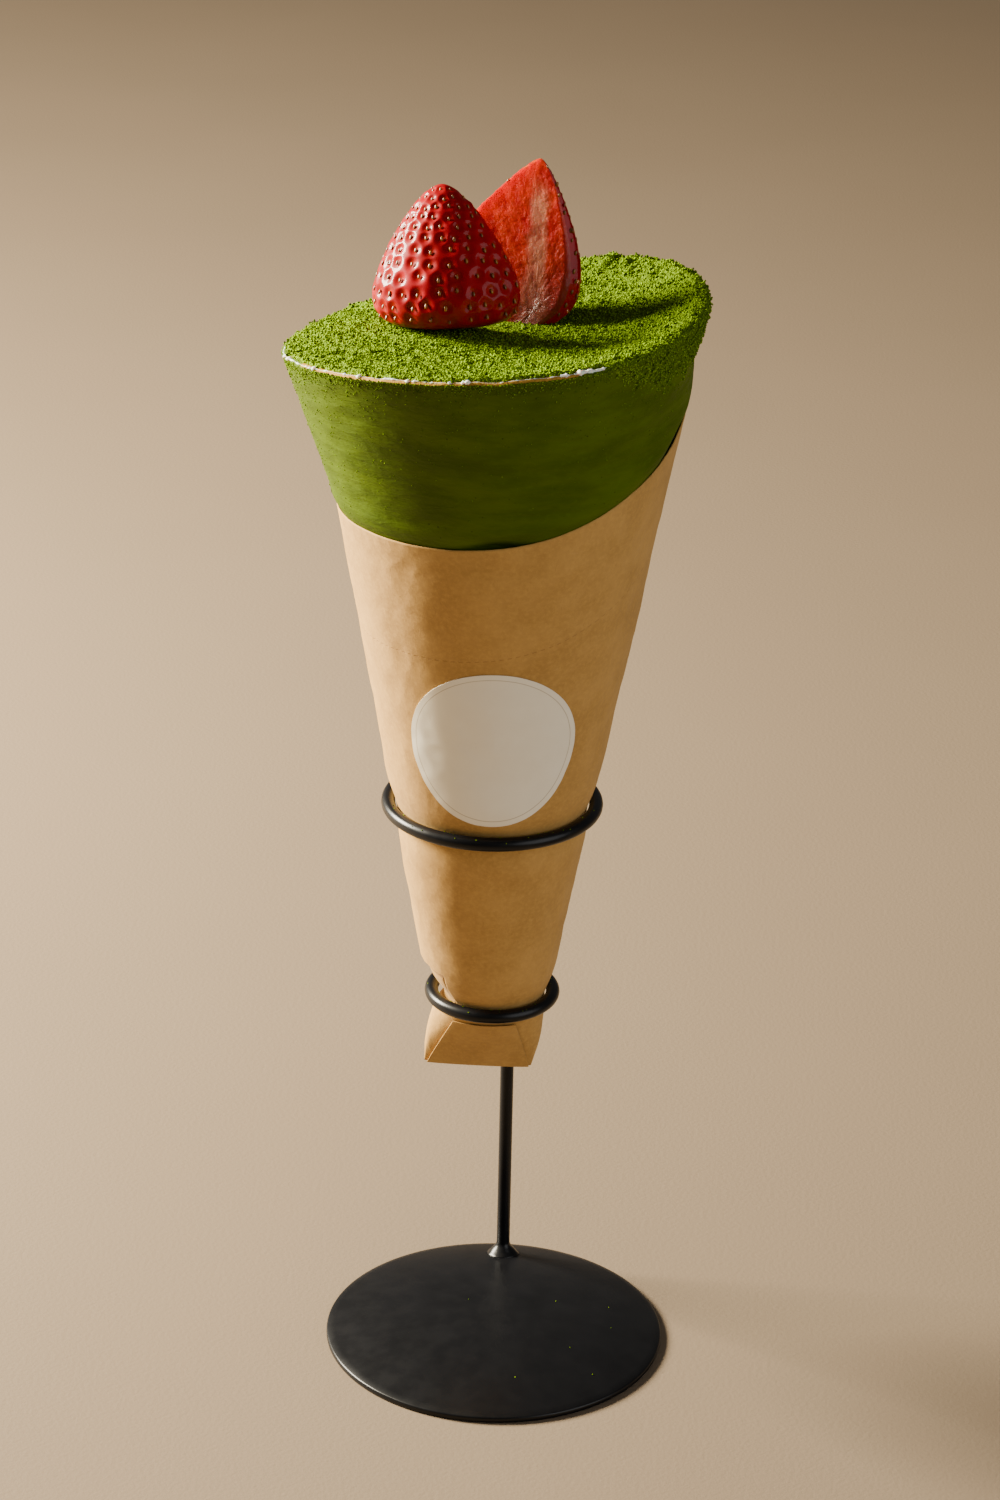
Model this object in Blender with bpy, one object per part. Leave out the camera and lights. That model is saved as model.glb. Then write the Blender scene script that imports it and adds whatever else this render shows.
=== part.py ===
"""A crepe cone in its paper sleeve, standing in a wire holder with a domed steel foot.

Metres, +Z up. The origin is the middle of the foot's flat underside. The holder's post stands
at +Y, behind the cone, and the cone leans forward, towards -Y.
"""

import math

import bmesh
import bpy
from mathutils import Vector, noise

MM = 0.001
GAP = 0.3 * MM

# Foot plate of the holder
PLATE_RADIUS = 50.0 * MM
PLATE_RIM_HEIGHT = 2.0 * MM
PLATE_EDGE_ROUNDING = 0.7 * MM
DOME_RISE = 6.8 * MM

# Wire post and its weld foot
WIRE_RADIUS = 2.0 * MM
POST_Y = 39.6 * MM
WELD_RADIUS = 5.2 * MM
WELD_HEIGHT = 4.5 * MM

# The two wire rings: height, radius of the wire's centreline, swing about the post in degrees
RING_UPPER = (171.6 * MM, 29.6 * MM, 6.8)
RING_LOWER = (105.9 * MM, 17.8 * MM, 9.5)

# Paper sleeve: level sections are circles whose centre moves forward as they rise
AXIS_HEIGHT = RING_UPPER[0]
AXIS_X = -3.9 * MM
AXIS_Y = 5.87 * MM
AXIS_SLOPE_X = 0.0146
AXIS_SLOPE_Y = -0.1794
CONE_RADIUS = 28.5 * MM
CONE_SLOPE = 0.163
PAPER = 0.8 * MM
NIP_CLEARANCE = 0.4 * MM
NIP_LENGTH = 6.0 * MM

# Top edge of the sleeve: mean height, tilt and saddle, each as size and direction in degrees
SLEEVE_EDGE_HEIGHT = 283.3 * MM
SLEEVE_EDGE_TILT = (18.7 * MM, 37.0)
SLEEVE_EDGE_SADDLE = (4.8 * MM, 40.0)

# Flattened tail of the sleeve, folded up at the front
FOLD_HEIGHT = 81.0 * MM
FOLD_X = -7.6 * MM
FOLD_Y = 18.8 * MM
FOLD_HALF_WIDTH = 15.9 * MM
FOLD_HALF_DEPTH = 1.0 * MM
TAIL_BULGE = 1.3 * MM
TAIL_FLOOR = 84.5 * MM
FLAP_TOP = 100.0 * MM
FLAP_BOTTOM_X = (-22.6 * MM, 7.6 * MM)
FLAP_TOP_X = (-14.3 * MM, 4.0 * MM)
FLAP_THICKNESS = 0.9 * MM

# Round label on the front of the sleeve
LABEL_AT = -87.0
LABEL_HEIGHT = 206.0 * MM
LABEL_RADIUS = 24.3 * MM
LABEL_DROP = 4.4 * MM
LABEL_THICKNESS = 0.4 * MM

# Crepe wrap: the rim's height and its flare out of the cone, each a mean with a first and a
# second wave round the rim, given as size and direction in degrees
RIM_HEIGHT = 322.4 * MM
RIM_TILT = (9.7 * MM, -17.5)
RIM_SADDLE = (2.3 * MM, 45.5)
RIM_FLARE = 6.1 * MM
RIM_FLARE_SHIFT = (3.9 * MM, 160.0)
RIM_FLARE_OVAL = (2.3 * MM, 105.0)
RIM_ROUNDING = 0.7 * MM
CREPE_WALL = 3.0 * MM
CREPE_INSET = PAPER + 0.35 * MM
CREPE_BULGE = 1.4 * MM
CREPE_TIP_HEIGHT = 114.0 * MM
CREPE_TIP_INSET = 3.4 * MM
CREPE_FLOOR = 126.0 * MM

# Cream filling under its cover of green powder
POWDER_STEP = 0.9 * MM
POWDER_LEVEL = 321.2 * MM
POWDER_CURVE = 3.0
POWDER_BUMP = 0.55 * MM
POWDER_BUMP_SIZE = 6.0 * MM
PRESSED_FADE = 8.0 * MM

# Strawberry halves: ends in mm, half width, depth as a share of it, direction in degrees that the
# cut face looks, and two powers that shape the outline from the apex to the base
BERRY_FRONT = {
    "base": (-16.0, -20.3, 320.8),
    "apex": (-19.2, -14.5, 357.6),
    "half_width": 21.1 * MM,
    "depth": 0.8,
    "look": 71.5,
    "outline": (2.82, 0.21),
}
BERRY_BACK = {
    "base": (-3.0, -16.1, 320.2),
    "apex": (6.4, -8.5, 363.8),
    "half_width": 18.7 * MM,
    "depth": 0.9,
    "look": -108.5,
    "outline": (1.91, 0.385),
}
DIMPLE_DEPTH = 0.55 * MM

SEGMENTS = 48


def ring_centre(ring):
    """Middle of a wire ring, swung about the post that it is welded to."""
    height, radius, swing = ring
    reach = radius + 2 * WIRE_RADIUS + GAP
    turn = math.radians(swing)
    return Vector((-reach * math.sin(turn), POST_Y - reach * math.cos(turn), height))


def dome_height(x, y):
    """Height of the plate's upper face."""
    share = min(1.0, (x * x + y * y) / PLATE_RADIUS**2)
    return PLATE_RIM_HEIGHT + DOME_RISE * (1.0 - share)


def smooth(t):
    t = min(1.0, max(0.0, t))
    return t * t * (3.0 - 2.0 * t)


def cone_section(z):
    """Centre and radius of the plain cone at height z."""
    rise = z - AXIS_HEIGHT
    return (AXIS_X + AXIS_SLOPE_X * rise, AXIS_Y + AXIS_SLOPE_Y * rise, CONE_RADIUS + CONE_SLOPE * rise)


def sleeve_section(z):
    """Centre and half axes of the sleeve's outer face, nipped by both rings."""
    x, y, radius = cone_section(max(z, RING_LOWER[0]))
    for ring in (RING_UPPER, RING_LOWER):
        centre = ring_centre(ring)
        ring_x, ring_y, free_radius = cone_section(ring[0])
        nipped = ring[1] - WIRE_RADIUS - NIP_CLEARANCE
        share = math.exp(-(((max(z, RING_LOWER[0]) - ring[0]) / NIP_LENGTH) ** 2))
        x += (centre.x - ring_x) * share
        y += (centre.y - ring_y) * share
        radius -= (free_radius - nipped) * share
    if z >= RING_LOWER[0]:
        return x, y, radius, radius
    down = (RING_LOWER[0] - z) / (RING_LOWER[0] - FOLD_HEIGHT)
    wide = radius + (FOLD_HALF_WIDTH - radius) * down + TAIL_BULGE * math.sin(math.pi * down)
    deep = radius + (FOLD_HALF_DEPTH - radius) * down
    return x + (FOLD_X - x) * down, y + (FOLD_Y - y) * down, wide, deep


def wave(turn, size_and_direction, count=1):
    """A wave round the cone, highest in the given direction."""
    size, direction = size_and_direction
    return size * math.cos(count * (turn - math.radians(direction)))


def sleeve_edge(turn):
    """Height of the sleeve's cut top edge in the direction turn, in radians."""
    return SLEEVE_EDGE_HEIGHT + wave(turn, SLEEVE_EDGE_TILT) + wave(turn, SLEEVE_EDGE_SADDLE, 2)


def rim_height(turn):
    """Height of the wrap's rim."""
    return RIM_HEIGHT + wave(turn, RIM_TILT) + wave(turn, RIM_SADDLE, 2)


def rim_flare(turn):
    """How far the rim stands out from the plain cone."""
    return RIM_FLARE + wave(turn, RIM_FLARE_SHIFT) + wave(turn, RIM_FLARE_OVAL, 2)


def cone_point(z, turn, offset):
    x, y, radius = cone_section(z)
    reach = radius + offset
    return Vector((x + reach * math.cos(turn), y + reach * math.sin(turn), z))


def turns(count=SEGMENTS):
    return [2 * math.pi * i / count for i in range(count)]


def mesh_object(name, verts, faces, colour, roughness, metallic=0.0, sharp=35.0):
    """One closed body with its own material, its faces turned outward."""
    mesh = bpy.data.meshes.new(name)
    mesh.from_pydata([tuple(v) for v in verts], [], faces)
    form = bmesh.new()
    form.from_mesh(mesh)
    bmesh.ops.recalc_face_normals(form, faces=form.faces)
    form.to_mesh(mesh)
    form.free()
    mesh.shade_smooth()
    mesh.set_sharp_from_angle(angle=math.radians(sharp))
    material = bpy.data.materials.new(name)
    material.use_nodes = True
    shader = material.node_tree.nodes["Principled BSDF"]
    shader.inputs["Base Color"].default_value = (*colour, 1.0)
    shader.inputs["Roughness"].default_value = roughness
    shader.inputs["Metallic"].default_value = metallic
    mesh.materials.append(material)
    obj = bpy.data.objects.new(name, mesh)
    bpy.context.scene.collection.objects.link(obj)
    return obj


def skin(rows, closed_ring=False):
    """Verts and faces of a tube through rows of points, with end caps unless it closes on itself."""
    count = len(rows[0])
    verts = [point for row in rows for point in row]
    faces = []
    last = len(rows) if closed_ring else len(rows) - 1
    for r in range(last):
        here = r * count
        there = ((r + 1) % len(rows)) * count
        for i in range(count):
            j = (i + 1) % count
            faces.append((here + i, here + j, there + j, there + i))
    if not closed_ring:
        faces.append(tuple(range(count)))
        faces.append(tuple((len(rows) - 1) * count + i for i in range(count)))
    return verts, faces


def turned(profile, centre, count):
    """Rows of a turned shape: profile is a list of radius and height."""
    return [
        [centre + Vector((r * math.cos(t), r * math.sin(t), z)) for t in turns(count)] for r, z in profile
    ]


STEEL = (0.012, 0.012, 0.014)
KRAFT = (0.56, 0.36, 0.19)
GREEN = (0.10, 0.16, 0.012)
RED = (0.42, 0.012, 0.012)


def make_plate():
    edge = PLATE_EDGE_ROUNDING
    profile = [(PLATE_RADIUS - edge, 0.0), (PLATE_RADIUS, edge), (PLATE_RADIUS, PLATE_RIM_HEIGHT - edge)]
    for share in (0.985, 0.95, 0.85, 0.7, 0.5, 0.3, 0.12):
        radius = PLATE_RADIUS * share
        profile.append((radius, dome_height(radius, 0.0)))
    verts, faces = skin(turned(profile, Vector((0, 0, 0)), 64))
    return mesh_object("stand_plate", verts, faces, STEEL, 0.4, 0.6, sharp=50.0)


def make_post():
    """Straight wire post whose flared weld foot follows the dome."""
    top = RING_UPPER[0] + 1.5 * WIRE_RADIUS
    flare = [(WELD_RADIUS, 0.0), (0.86 * WELD_RADIUS, 0.16), (0.6 * WELD_RADIUS, 0.42), (WIRE_RADIUS, 1.0)]
    seat = dome_height(0.0, POST_Y)
    rows = []
    for radius, share in flare:
        row = []
        for t in turns(16):
            x = radius * math.cos(t)
            y = POST_Y + radius * math.sin(t)
            floor = dome_height(x, y) * (1 - share) + seat * share
            row.append(Vector((x, y, floor + GAP + share * WELD_HEIGHT)))
        rows.append(row)
    post = Vector((0, POST_Y, 0))
    rows += turned([(WIRE_RADIUS, top - 0.5 * MM), (WIRE_RADIUS - 0.5 * MM, top)], post, 16)
    verts, faces = skin(rows)
    return mesh_object("stand_post", verts, faces, STEEL, 0.4, 0.6)


def make_ring(name, ring):
    centre = ring_centre(ring)
    rows = []
    for t in turns(40):
        out = Vector((math.cos(t), math.sin(t), 0))
        row = []
        for a in turns(8):
            row.append(
                centre + out * (ring[1] + WIRE_RADIUS * math.cos(a)) + Vector((0, 0, WIRE_RADIUS * math.sin(a)))
            )
        rows.append(row)
    verts, faces = skin(rows, closed_ring=True)
    return mesh_object(name, verts, faces, STEEL, 0.4, 0.6, sharp=80.0)


def sleeve_row(z, inset=0.0):
    x, y, wide, deep = sleeve_section(z)
    return [
        Vector((x + (wide - inset) * math.cos(t), y + (deep - inset) * math.sin(t), z)) for t in turns()
    ]


def sleeve_top_row(share, inset=0.0):
    """A row between the last level row and the slanted edge."""
    start = SLEEVE_EDGE_HEIGHT - 30 * MM
    return [cone_point(start + (sleeve_edge(t) - start) * share, t, -inset) for t in turns()]


def make_flap():
    """The tail's end, folded up onto the front face."""
    across = 8
    levels = 6
    outer = []
    inner = []
    for k in range(levels + 1):
        share = k / levels
        z = FOLD_HEIGHT - 0.5 * MM + (FLAP_TOP - FOLD_HEIGHT + 0.5 * MM) * share
        left = FLAP_BOTTOM_X[0] + (FLAP_TOP_X[0] - FLAP_BOTTOM_X[0]) * share
        right = FLAP_BOTTOM_X[1] + (FLAP_TOP_X[1] - FLAP_BOTTOM_X[1]) * share
        x0, y0, wide, deep = sleeve_section(max(z, FOLD_HEIGHT))
        for i in range(across + 1):
            x = left + (right - left) * i / across
            bow = math.sqrt(max(0.0, 1.0 - ((x - x0) / wide) ** 2))
            y = y0 - deep * bow
            outer.append(Vector((x, y - FLAP_THICKNESS, z)))
            inner.append(Vector((x, y + 0.4 * MM, z)))
    verts = outer + inner
    size = across + 1
    back = len(outer)
    faces = []
    for k in range(levels):
        for i in range(across):
            a = k * size + i
            faces.append((a, a + 1, a + size + 1, a + size))
            faces.append((back + a, back + a + size, back + a + size + 1, back + a + 1))
    rim = [i for i in range(size)]
    rim += [k * size + across for k in range(1, levels + 1)]
    rim += [levels * size + i for i in range(across - 1, -1, -1)]
    rim += [k * size for k in range(levels - 1, 0, -1)]
    for a, b in zip(rim, rim[1:] + rim[:1]):
        faces.append((a, back + a, back + b, b))
    flap = mesh_object("sleeve_flap_form", verts, faces, KRAFT, 0.8)
    flap.hide_render = True
    flap.display_type = "WIRE"
    return flap


def make_sleeve():
    tail = [FOLD_HEIGHT + step * MM for step in (0.0, 4.0, 8.5, 13.0, 17.5, 21.5)]
    nips = []
    for ring in (RING_LOWER, RING_UPPER):
        nips += [ring[0] + step * MM for step in (-9.0, -4.5, 0.0, 4.5, 9.0, 14.0)]
    levels = tail + [z for z in nips if z > tail[-1]]
    rows = [sleeve_row(z) for z in levels]
    rows += [sleeve_top_row(0.0), sleeve_top_row(1.0)]
    rows += [sleeve_top_row(1.0, PAPER), sleeve_top_row(0.0, PAPER)]
    rows += [sleeve_row(z, PAPER) for z in reversed(levels) if z > TAIL_FLOOR]
    rows.append(sleeve_row(TAIL_FLOOR, PAPER))
    verts, faces = skin(rows)
    sleeve = mesh_object("paper_sleeve", verts, faces, KRAFT, 0.8)
    union = sleeve.modifiers.new("folded_tail", "BOOLEAN")
    union.operation = "UNION"
    union.solver = "EXACT"
    union.object = make_flap()
    return sleeve


def label_point(direction, share, offset):
    """A point of the label: share runs from its middle to its outline."""
    drop = LABEL_DROP * max(0.0, -math.sin(direction)) ** 3
    reach = (LABEL_RADIUS + drop) * share
    z = LABEL_HEIGHT + reach * math.sin(direction)
    x, y, radius, _ = sleeve_section(z)
    turn = math.radians(LABEL_AT) + reach * math.cos(direction) / radius
    return Vector((x + (radius + offset) * math.cos(turn), y + (radius + offset) * math.sin(turn), z))


def make_label():
    """Thin label that follows the sleeve; its rings are close enough to keep their chords clear of it."""
    shares = (0.12, 0.34, 0.56, 0.78, 1.0)
    rows = [[label_point(t, share, GAP + LABEL_THICKNESS) for t in turns(32)] for share in shares]
    rows += [[label_point(t, share, GAP) for t in turns(32)] for share in reversed(shares)]
    verts, faces = skin(rows)
    return mesh_object("sleeve_label", verts, faces, (0.62, 0.58, 0.48), 0.6)


def crepe_offset(turn, z):
    """How far the wrap's outer face stands out from the plain cone."""
    edge = sleeve_edge(turn)
    if z <= edge:
        share = min(1.0, 1.05 * (z - CREPE_TIP_HEIGHT) / (edge - CREPE_TIP_HEIGHT))
        return -CREPE_TIP_INSET + (CREPE_TIP_INSET - CREPE_INSET) * share
    over = smooth((z - edge) / (6.0 * MM))
    climb = (z - edge) / (rim_height(turn) - edge)
    return -CREPE_INSET + CREPE_BULGE * over + (rim_flare(turn) + CREPE_INSET - CREPE_BULGE) * climb


def crepe_row(height, inset=0.0):
    """A row of points on the wrap's outer face, or inset from it; height gives z for a direction."""
    return [cone_point(height(t), t, crepe_offset(t, height(t)) - inset) for t in turns()]


def between(share):
    """A height between the sleeve's edge and the rim's rounding."""
    return lambda t: sleeve_edge(t) + (rim_height(t) - RIM_ROUNDING - sleeve_edge(t)) * share


def above_edge(step):
    return lambda t: sleeve_edge(t) + step


def level(z):
    return lambda t: z


def inner_heights():
    """Heights of the rows on the wrap's inner face, from the rim down."""
    return [rim_height, between(0.6), above_edge(6.5 * MM), above_edge(0.0), level(CREPE_FLOOR)]


def make_crepe():
    rows = [[cone_point(CREPE_TIP_HEIGHT - 2 * MM, t, -CREPE_TIP_INSET - 2 * MM) for t in turns()]]
    rows.append(crepe_row(level(CREPE_TIP_HEIGHT)))
    for step in (-10.0, 0.0, 2.0, 4.0, 6.5):
        rows.append(crepe_row(above_edge(step * MM)))
    for share in (0.45, 0.75, 1.0):
        rows.append(crepe_row(between(share)))
    rows.append([cone_point(rim_height(t), t, rim_flare(t) - RIM_ROUNDING) for t in turns()])
    for height in inner_heights():
        rows.append(crepe_row(height, CREPE_WALL))
    verts, faces = skin(rows)
    return mesh_object("crepe_wrap", verts, faces, GREEN, 0.75)


def rim_middle():
    """Centre of the mouth."""
    x, y, _ = cone_section(RIM_HEIGHT)
    return x, y


def berry_shade(x, y):
    """0 under the strawberries, where the powder is pressed flat, and 1 away from them."""
    share = 1.0
    for berry in (BERRY_FRONT, BERRY_BACK):
        base = Vector(berry["base"]) * MM
        away = math.hypot(x - base.x, y - base.y)
        share = min(share, smooth((away - berry["half_width"]) / PRESSED_FADE))
    return share


def powder_bump(x, y):
    spot = Vector((x, y, 0.0)) / POWDER_BUMP_SIZE
    return POWDER_BUMP * noise.fractal(spot, 0.6, 2.1, 3)


def powder_row(share, inset):
    """Points of the powdered top, level in the middle and curving up or down to meet the rim."""
    centre_x, centre_y = rim_middle()
    row = []
    for t in turns():
        edge = cone_point(rim_height(t) + POWDER_STEP, t, rim_flare(t) - inset)
        x = centre_x + (edge.x - centre_x) * share
        y = centre_y + (edge.y - centre_y) * share
        relief = (edge.z - POWDER_LEVEL) * share**POWDER_CURVE + powder_bump(x, y)
        row.append(Vector((x, y, POWDER_LEVEL + relief * berry_shade(x, y))))
    return row


def make_filling():
    """Cream that fills the wrap, with the powder on it as relief."""
    inset = CREPE_WALL + 1.2 * GAP
    rows = [crepe_row(level(CREPE_FLOOR + GAP), inset)]
    for height in reversed(inner_heights()[:-1]):
        rows.append(crepe_row(height, inset))
    rows.append([cone_point(rim_height(t) + 0.2 * POWDER_STEP, t, rim_flare(t) - inset) for t in turns()])
    for share in (0.985, 0.93, 0.86, 0.79, 0.72, 0.65, 0.57, 0.49, 0.4, 0.3, 0.18):
        rows.append(powder_row(share, inset))
    verts, faces = skin(rows)
    return mesh_object("cream_and_powder", verts, faces, (0.16, 0.26, 0.02), 0.9, sharp=60.0)


def berry_profile(u, outline):
    """Half width share from the apex, u = 0, to the base, u = 1."""
    swell, bluntness = outline
    return math.sin(math.pi * u**swell) ** bluntness


def make_berry(name, berry):
    """Half a strawberry with seed dimples, its base pressed flat on the powder."""
    base = Vector(berry["base"]) * MM
    apex = Vector(berry["apex"]) * MM
    axis = (apex - base).normalized()
    length = (apex - base).length
    look = math.radians(berry["look"])
    face_out = Vector((math.cos(look), math.sin(look), 0.0))
    face_out = (face_out - axis * face_out.dot(axis)).normalized()
    across = axis.cross(face_out)
    rows = 30
    columns = 24
    grid = []
    for k in range(1, rows):
        u = (k / rows) ** 1.15
        radius = berry["half_width"] * berry_profile(u, berry["outline"])
        for i in range(columns + 1):
            turn = math.pi * i / columns
            seed_row = k % 4 == 2 and i % 4 == 2
            seed_between = k % 4 == 0 and i % 4 == 0
            dimpled = (seed_row or seed_between) and 0 < i < columns and 3 < k < rows - 3
            reach = radius - (DIMPLE_DEPTH if dimpled else 0.0)
            spot = across * math.cos(turn) - face_out * berry["depth"] * math.sin(turn)
            grid.append(base + axis * length * (1 - u) + spot * reach)
    verts = grid + [apex, base]
    tip = len(grid)
    size = columns + 1
    faces = []
    for k in range(rows - 2):
        for i in range(columns):
            a = k * size + i
            faces.append((a, a + 1, a + size + 1, a + size))
    last = (rows - 2) * size
    for i in range(columns):
        faces.append((tip, i + 1, i))
        faces.append((tip + 1, last + i, last + i + 1))
    left = [k * size for k in range(rows - 1)]
    right = [k * size + columns for k in range(rows - 1)]
    faces.append((tip, left[0], right[0]))
    for k in range(rows - 2):
        faces.append((left[k], left[k + 1], right[k + 1], right[k]))
    faces.append((tip + 1, right[-1], left[-1]))
    half = mesh_object(name, verts, faces, RED, 0.25, sharp=45.0)
    form = bmesh.new()
    form.from_mesh(half.data)
    seat = Vector((base.x, base.y, POWDER_LEVEL + GAP))
    up = Vector((0.0, 0.0, 1.0))
    parts = form.verts[:] + form.edges[:] + form.faces[:]
    cut = bmesh.ops.bisect_plane(form, geom=parts, dist=1e-6, plane_co=seat, plane_no=up, clear_inner=True)
    edges = [item for item in cut["geom_cut"] if isinstance(item, bmesh.types.BMEdge)]
    bmesh.ops.holes_fill(form, edges=edges)
    bmesh.ops.recalc_face_normals(form, faces=form.faces)
    form.to_mesh(half.data)
    form.free()
    return half


def main():
    for obj in list(bpy.data.objects):
        bpy.data.objects.remove(obj)
    make_plate()
    make_post()
    make_ring("stand_ring_upper", RING_UPPER)
    make_ring("stand_ring_lower", RING_LOWER)
    make_sleeve()
    make_label()
    make_crepe()
    make_filling()
    make_berry("strawberry_half_front", BERRY_FRONT)
    make_berry("strawberry_half_back", BERRY_BACK)


main()
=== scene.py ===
"""Looks of the crepe cone in its wire holder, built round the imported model.

Metres, +Z up. Directions round the cone are angles from +X, and the front is at -90 degrees.
"""

import math

import bmesh
import bpy
import numpy as np
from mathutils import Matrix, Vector, noise


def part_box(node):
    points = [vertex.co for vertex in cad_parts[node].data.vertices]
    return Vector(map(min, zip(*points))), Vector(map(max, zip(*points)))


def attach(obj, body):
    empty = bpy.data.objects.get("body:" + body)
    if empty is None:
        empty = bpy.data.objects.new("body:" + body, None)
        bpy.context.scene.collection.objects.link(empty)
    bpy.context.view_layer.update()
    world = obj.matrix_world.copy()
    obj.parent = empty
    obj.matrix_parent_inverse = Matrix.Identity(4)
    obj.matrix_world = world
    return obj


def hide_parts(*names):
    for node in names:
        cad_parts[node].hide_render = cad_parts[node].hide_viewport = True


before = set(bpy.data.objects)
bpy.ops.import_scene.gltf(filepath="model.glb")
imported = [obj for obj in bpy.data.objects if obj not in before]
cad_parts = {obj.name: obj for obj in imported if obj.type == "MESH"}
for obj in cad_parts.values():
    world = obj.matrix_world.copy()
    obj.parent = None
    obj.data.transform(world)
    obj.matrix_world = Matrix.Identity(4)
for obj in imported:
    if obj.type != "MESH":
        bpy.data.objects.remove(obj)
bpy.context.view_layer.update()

MM = 0.001
RANDOM = np.random.default_rng(7)
UP = np.array([0.0, 0.0, 1.0])
TINY = 1e-9

# Cone, as in the model
AXIS_HEIGHT = 171.6 * MM
AXIS_X = -3.9 * MM
AXIS_Y = 5.87 * MM
AXIS_SLOPE_X = 0.0146
AXIS_SLOPE_Y = -0.1794
CONE_RADIUS = 28.5 * MM
CONE_SLOPE = 0.163

# Holder
WIRE_RADIUS = 2.0 * MM
PLATE_RIM_HEIGHT = 2.0 * MM
PLATE_EDGE_ROUNDING = 0.7 * MM
WELD_RADIUS = 5.0 * MM
WELD_HEIGHT = 4.3 * MM
BEAD_SIZE = (1.7 * MM, 2.6 * MM, 2.3 * MM)

# Sleeve
SLEEVE_EDGE_HEIGHT = 283.3 * MM
SLEEVE_EDGE_TILT = (18.7 * MM, 37.0)
SLEEVE_EDGE_SADDLE = (4.8 * MM, 40.0)
PAPER = 0.45 * MM
NIP_CLEARANCE = 0.4 * MM
NIP_LENGTH = 6.0 * MM
FOLD_HEIGHT = 81.0 * MM
FOLD_X = -7.6 * MM
FOLD_Y = 18.8 * MM
FOLD_HALF_WIDTH = 15.9 * MM
FOLD_HALF_DEPTH = 1.0 * MM
TAIL_BULGE = 1.3 * MM
TAIL_FLOOR = 84.5 * MM
TAIL_LEAST_DEPTH = 0.35 * MM
FLAP_TOP = 100.0 * MM
FLAP_BOTTOM_X = (-22.6 * MM, 7.6 * MM)
FLAP_TOP_X = (-14.3 * MM, 4.0 * MM)
FLAP_LIFT = 0.85 * MM
FLAP_TUCK = 0.3 * MM
FLAP_PAPER = 0.4 * MM
TEAR_LINE_DROP = 36.5 * MM
LEVEL_ROWS_TOP = SLEEVE_EDGE_HEIGHT - 30.0 * MM

# Pinch of the paper above the lower ring, at the left, with shade painted along its pocket
PINCH_DEPTH = 1.5 * MM
PINCH_SLOT = 1.1 * MM
PINCH_FROM = -205.0
PINCH_TO = -127.0
PINCH_TOP = 118.6 * MM
PINCH_BOTTOM = 101.0 * MM
PINCH_SLOPE = 0.03 * MM
PINCH_SLOPE_FROM = -140.0
PINCH_RADIUS = 19.0 * MM
PINCH_EASE = 1.4 * MM
PINCH_SLOT_AT = 1.3 * MM
PINCH_SLOT_WIDTH = 1.0 * MM
PINCH_SLOT_FROM = -170.0
PINCH_SHADE_AT = 1.7 * MM
PINCH_SHADE_WIDTH = 1.5 * MM
PINCH_SHADE_FROM = -186.0
PINCH_ROWS = (104.5 * MM, 121.0 * MM)

# Label
LABEL_AT = -87.0
LABEL_HEIGHT = 206.0 * MM
LABEL_RADIUS = 24.3 * MM
LABEL_DROP = 4.4 * MM
LABEL_THICKNESS = 0.16 * MM
LABEL_GAP = 0.10 * MM

# Crepe wrap
RIM_HEIGHT = 322.4 * MM
RIM_TILT = (9.7 * MM, -17.5)
RIM_SADDLE = (2.3 * MM, 45.5)
RIM_FLARE = 6.1 * MM
RIM_FLARE_SHIFT = (3.9 * MM, 160.0)
RIM_FLARE_OVAL = (2.3 * MM, 105.0)
CREPE_WALL = 3.0 * MM
CREPE_INSET = 1.15 * MM
CREPE_BULGE = 1.4 * MM
CREPE_TIP_HEIGHT = 114.0 * MM
CREPE_TIP_INSET = 3.4 * MM
TIP_FILL = 1.05
BULGE_RISE = 6.0 * MM
CREPE_FLOOR = 126.0 * MM
CORNER_RADIUS = 1.2 * MM
RIM_NOISE_RADIUS = 55.0 * MM

# Dents of the crepe at the sleeve's edge: direction and width in degrees, and depth
EDGE_DENTS = ((-88.0, 9.0, 2.6 * MM), (-14.0, 5.0, 2.6 * MM), (65.0, 7.0, 1.6 * MM), (150.0, 6.0, 1.6 * MM))
EDGE_DENT_HEIGHT = 3.0 * MM
EDGE_ROLL = 0.75 * MM

# Rows of the crepe: how far they reach below the sleeve's edge, and the band that bends over the rim
FREE_ROWS_START = 4.0 * MM
HIDDEN_ROWS_END = 6.0 * MM
RIM_BAND = 2.5 * MM
INSIDE_GAP = 1.0 * MM
BROWNED_FROM = -152.0
BROWNED_TO = -66.0

# Powder: the bare stretch of the rim, in degrees, and how far the powder runs down the wall
BARE_FROM = -178.0
BARE_TO = -60.0
BARE_FADE = 5.0
POWDER_LEVEL = 321.2 * MM
POWDER_STEP = 0.9 * MM
POWDER_CURVE = 3.0
POWDER_RUN = 5.0 * MM
POWDER_RUN_RIGHT = (9.0 * MM, -15.0)
COVER_INSET = 1.1 * MM
CLUMP_HEIGHT = 2.2 * MM
CLUMPS_FROM = 20.0
CLUMPS_TO = 150.0
POWDER_UNDERSIDE = 1.6 * MM
CREAM_SINK = 0.75 * MM

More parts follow.
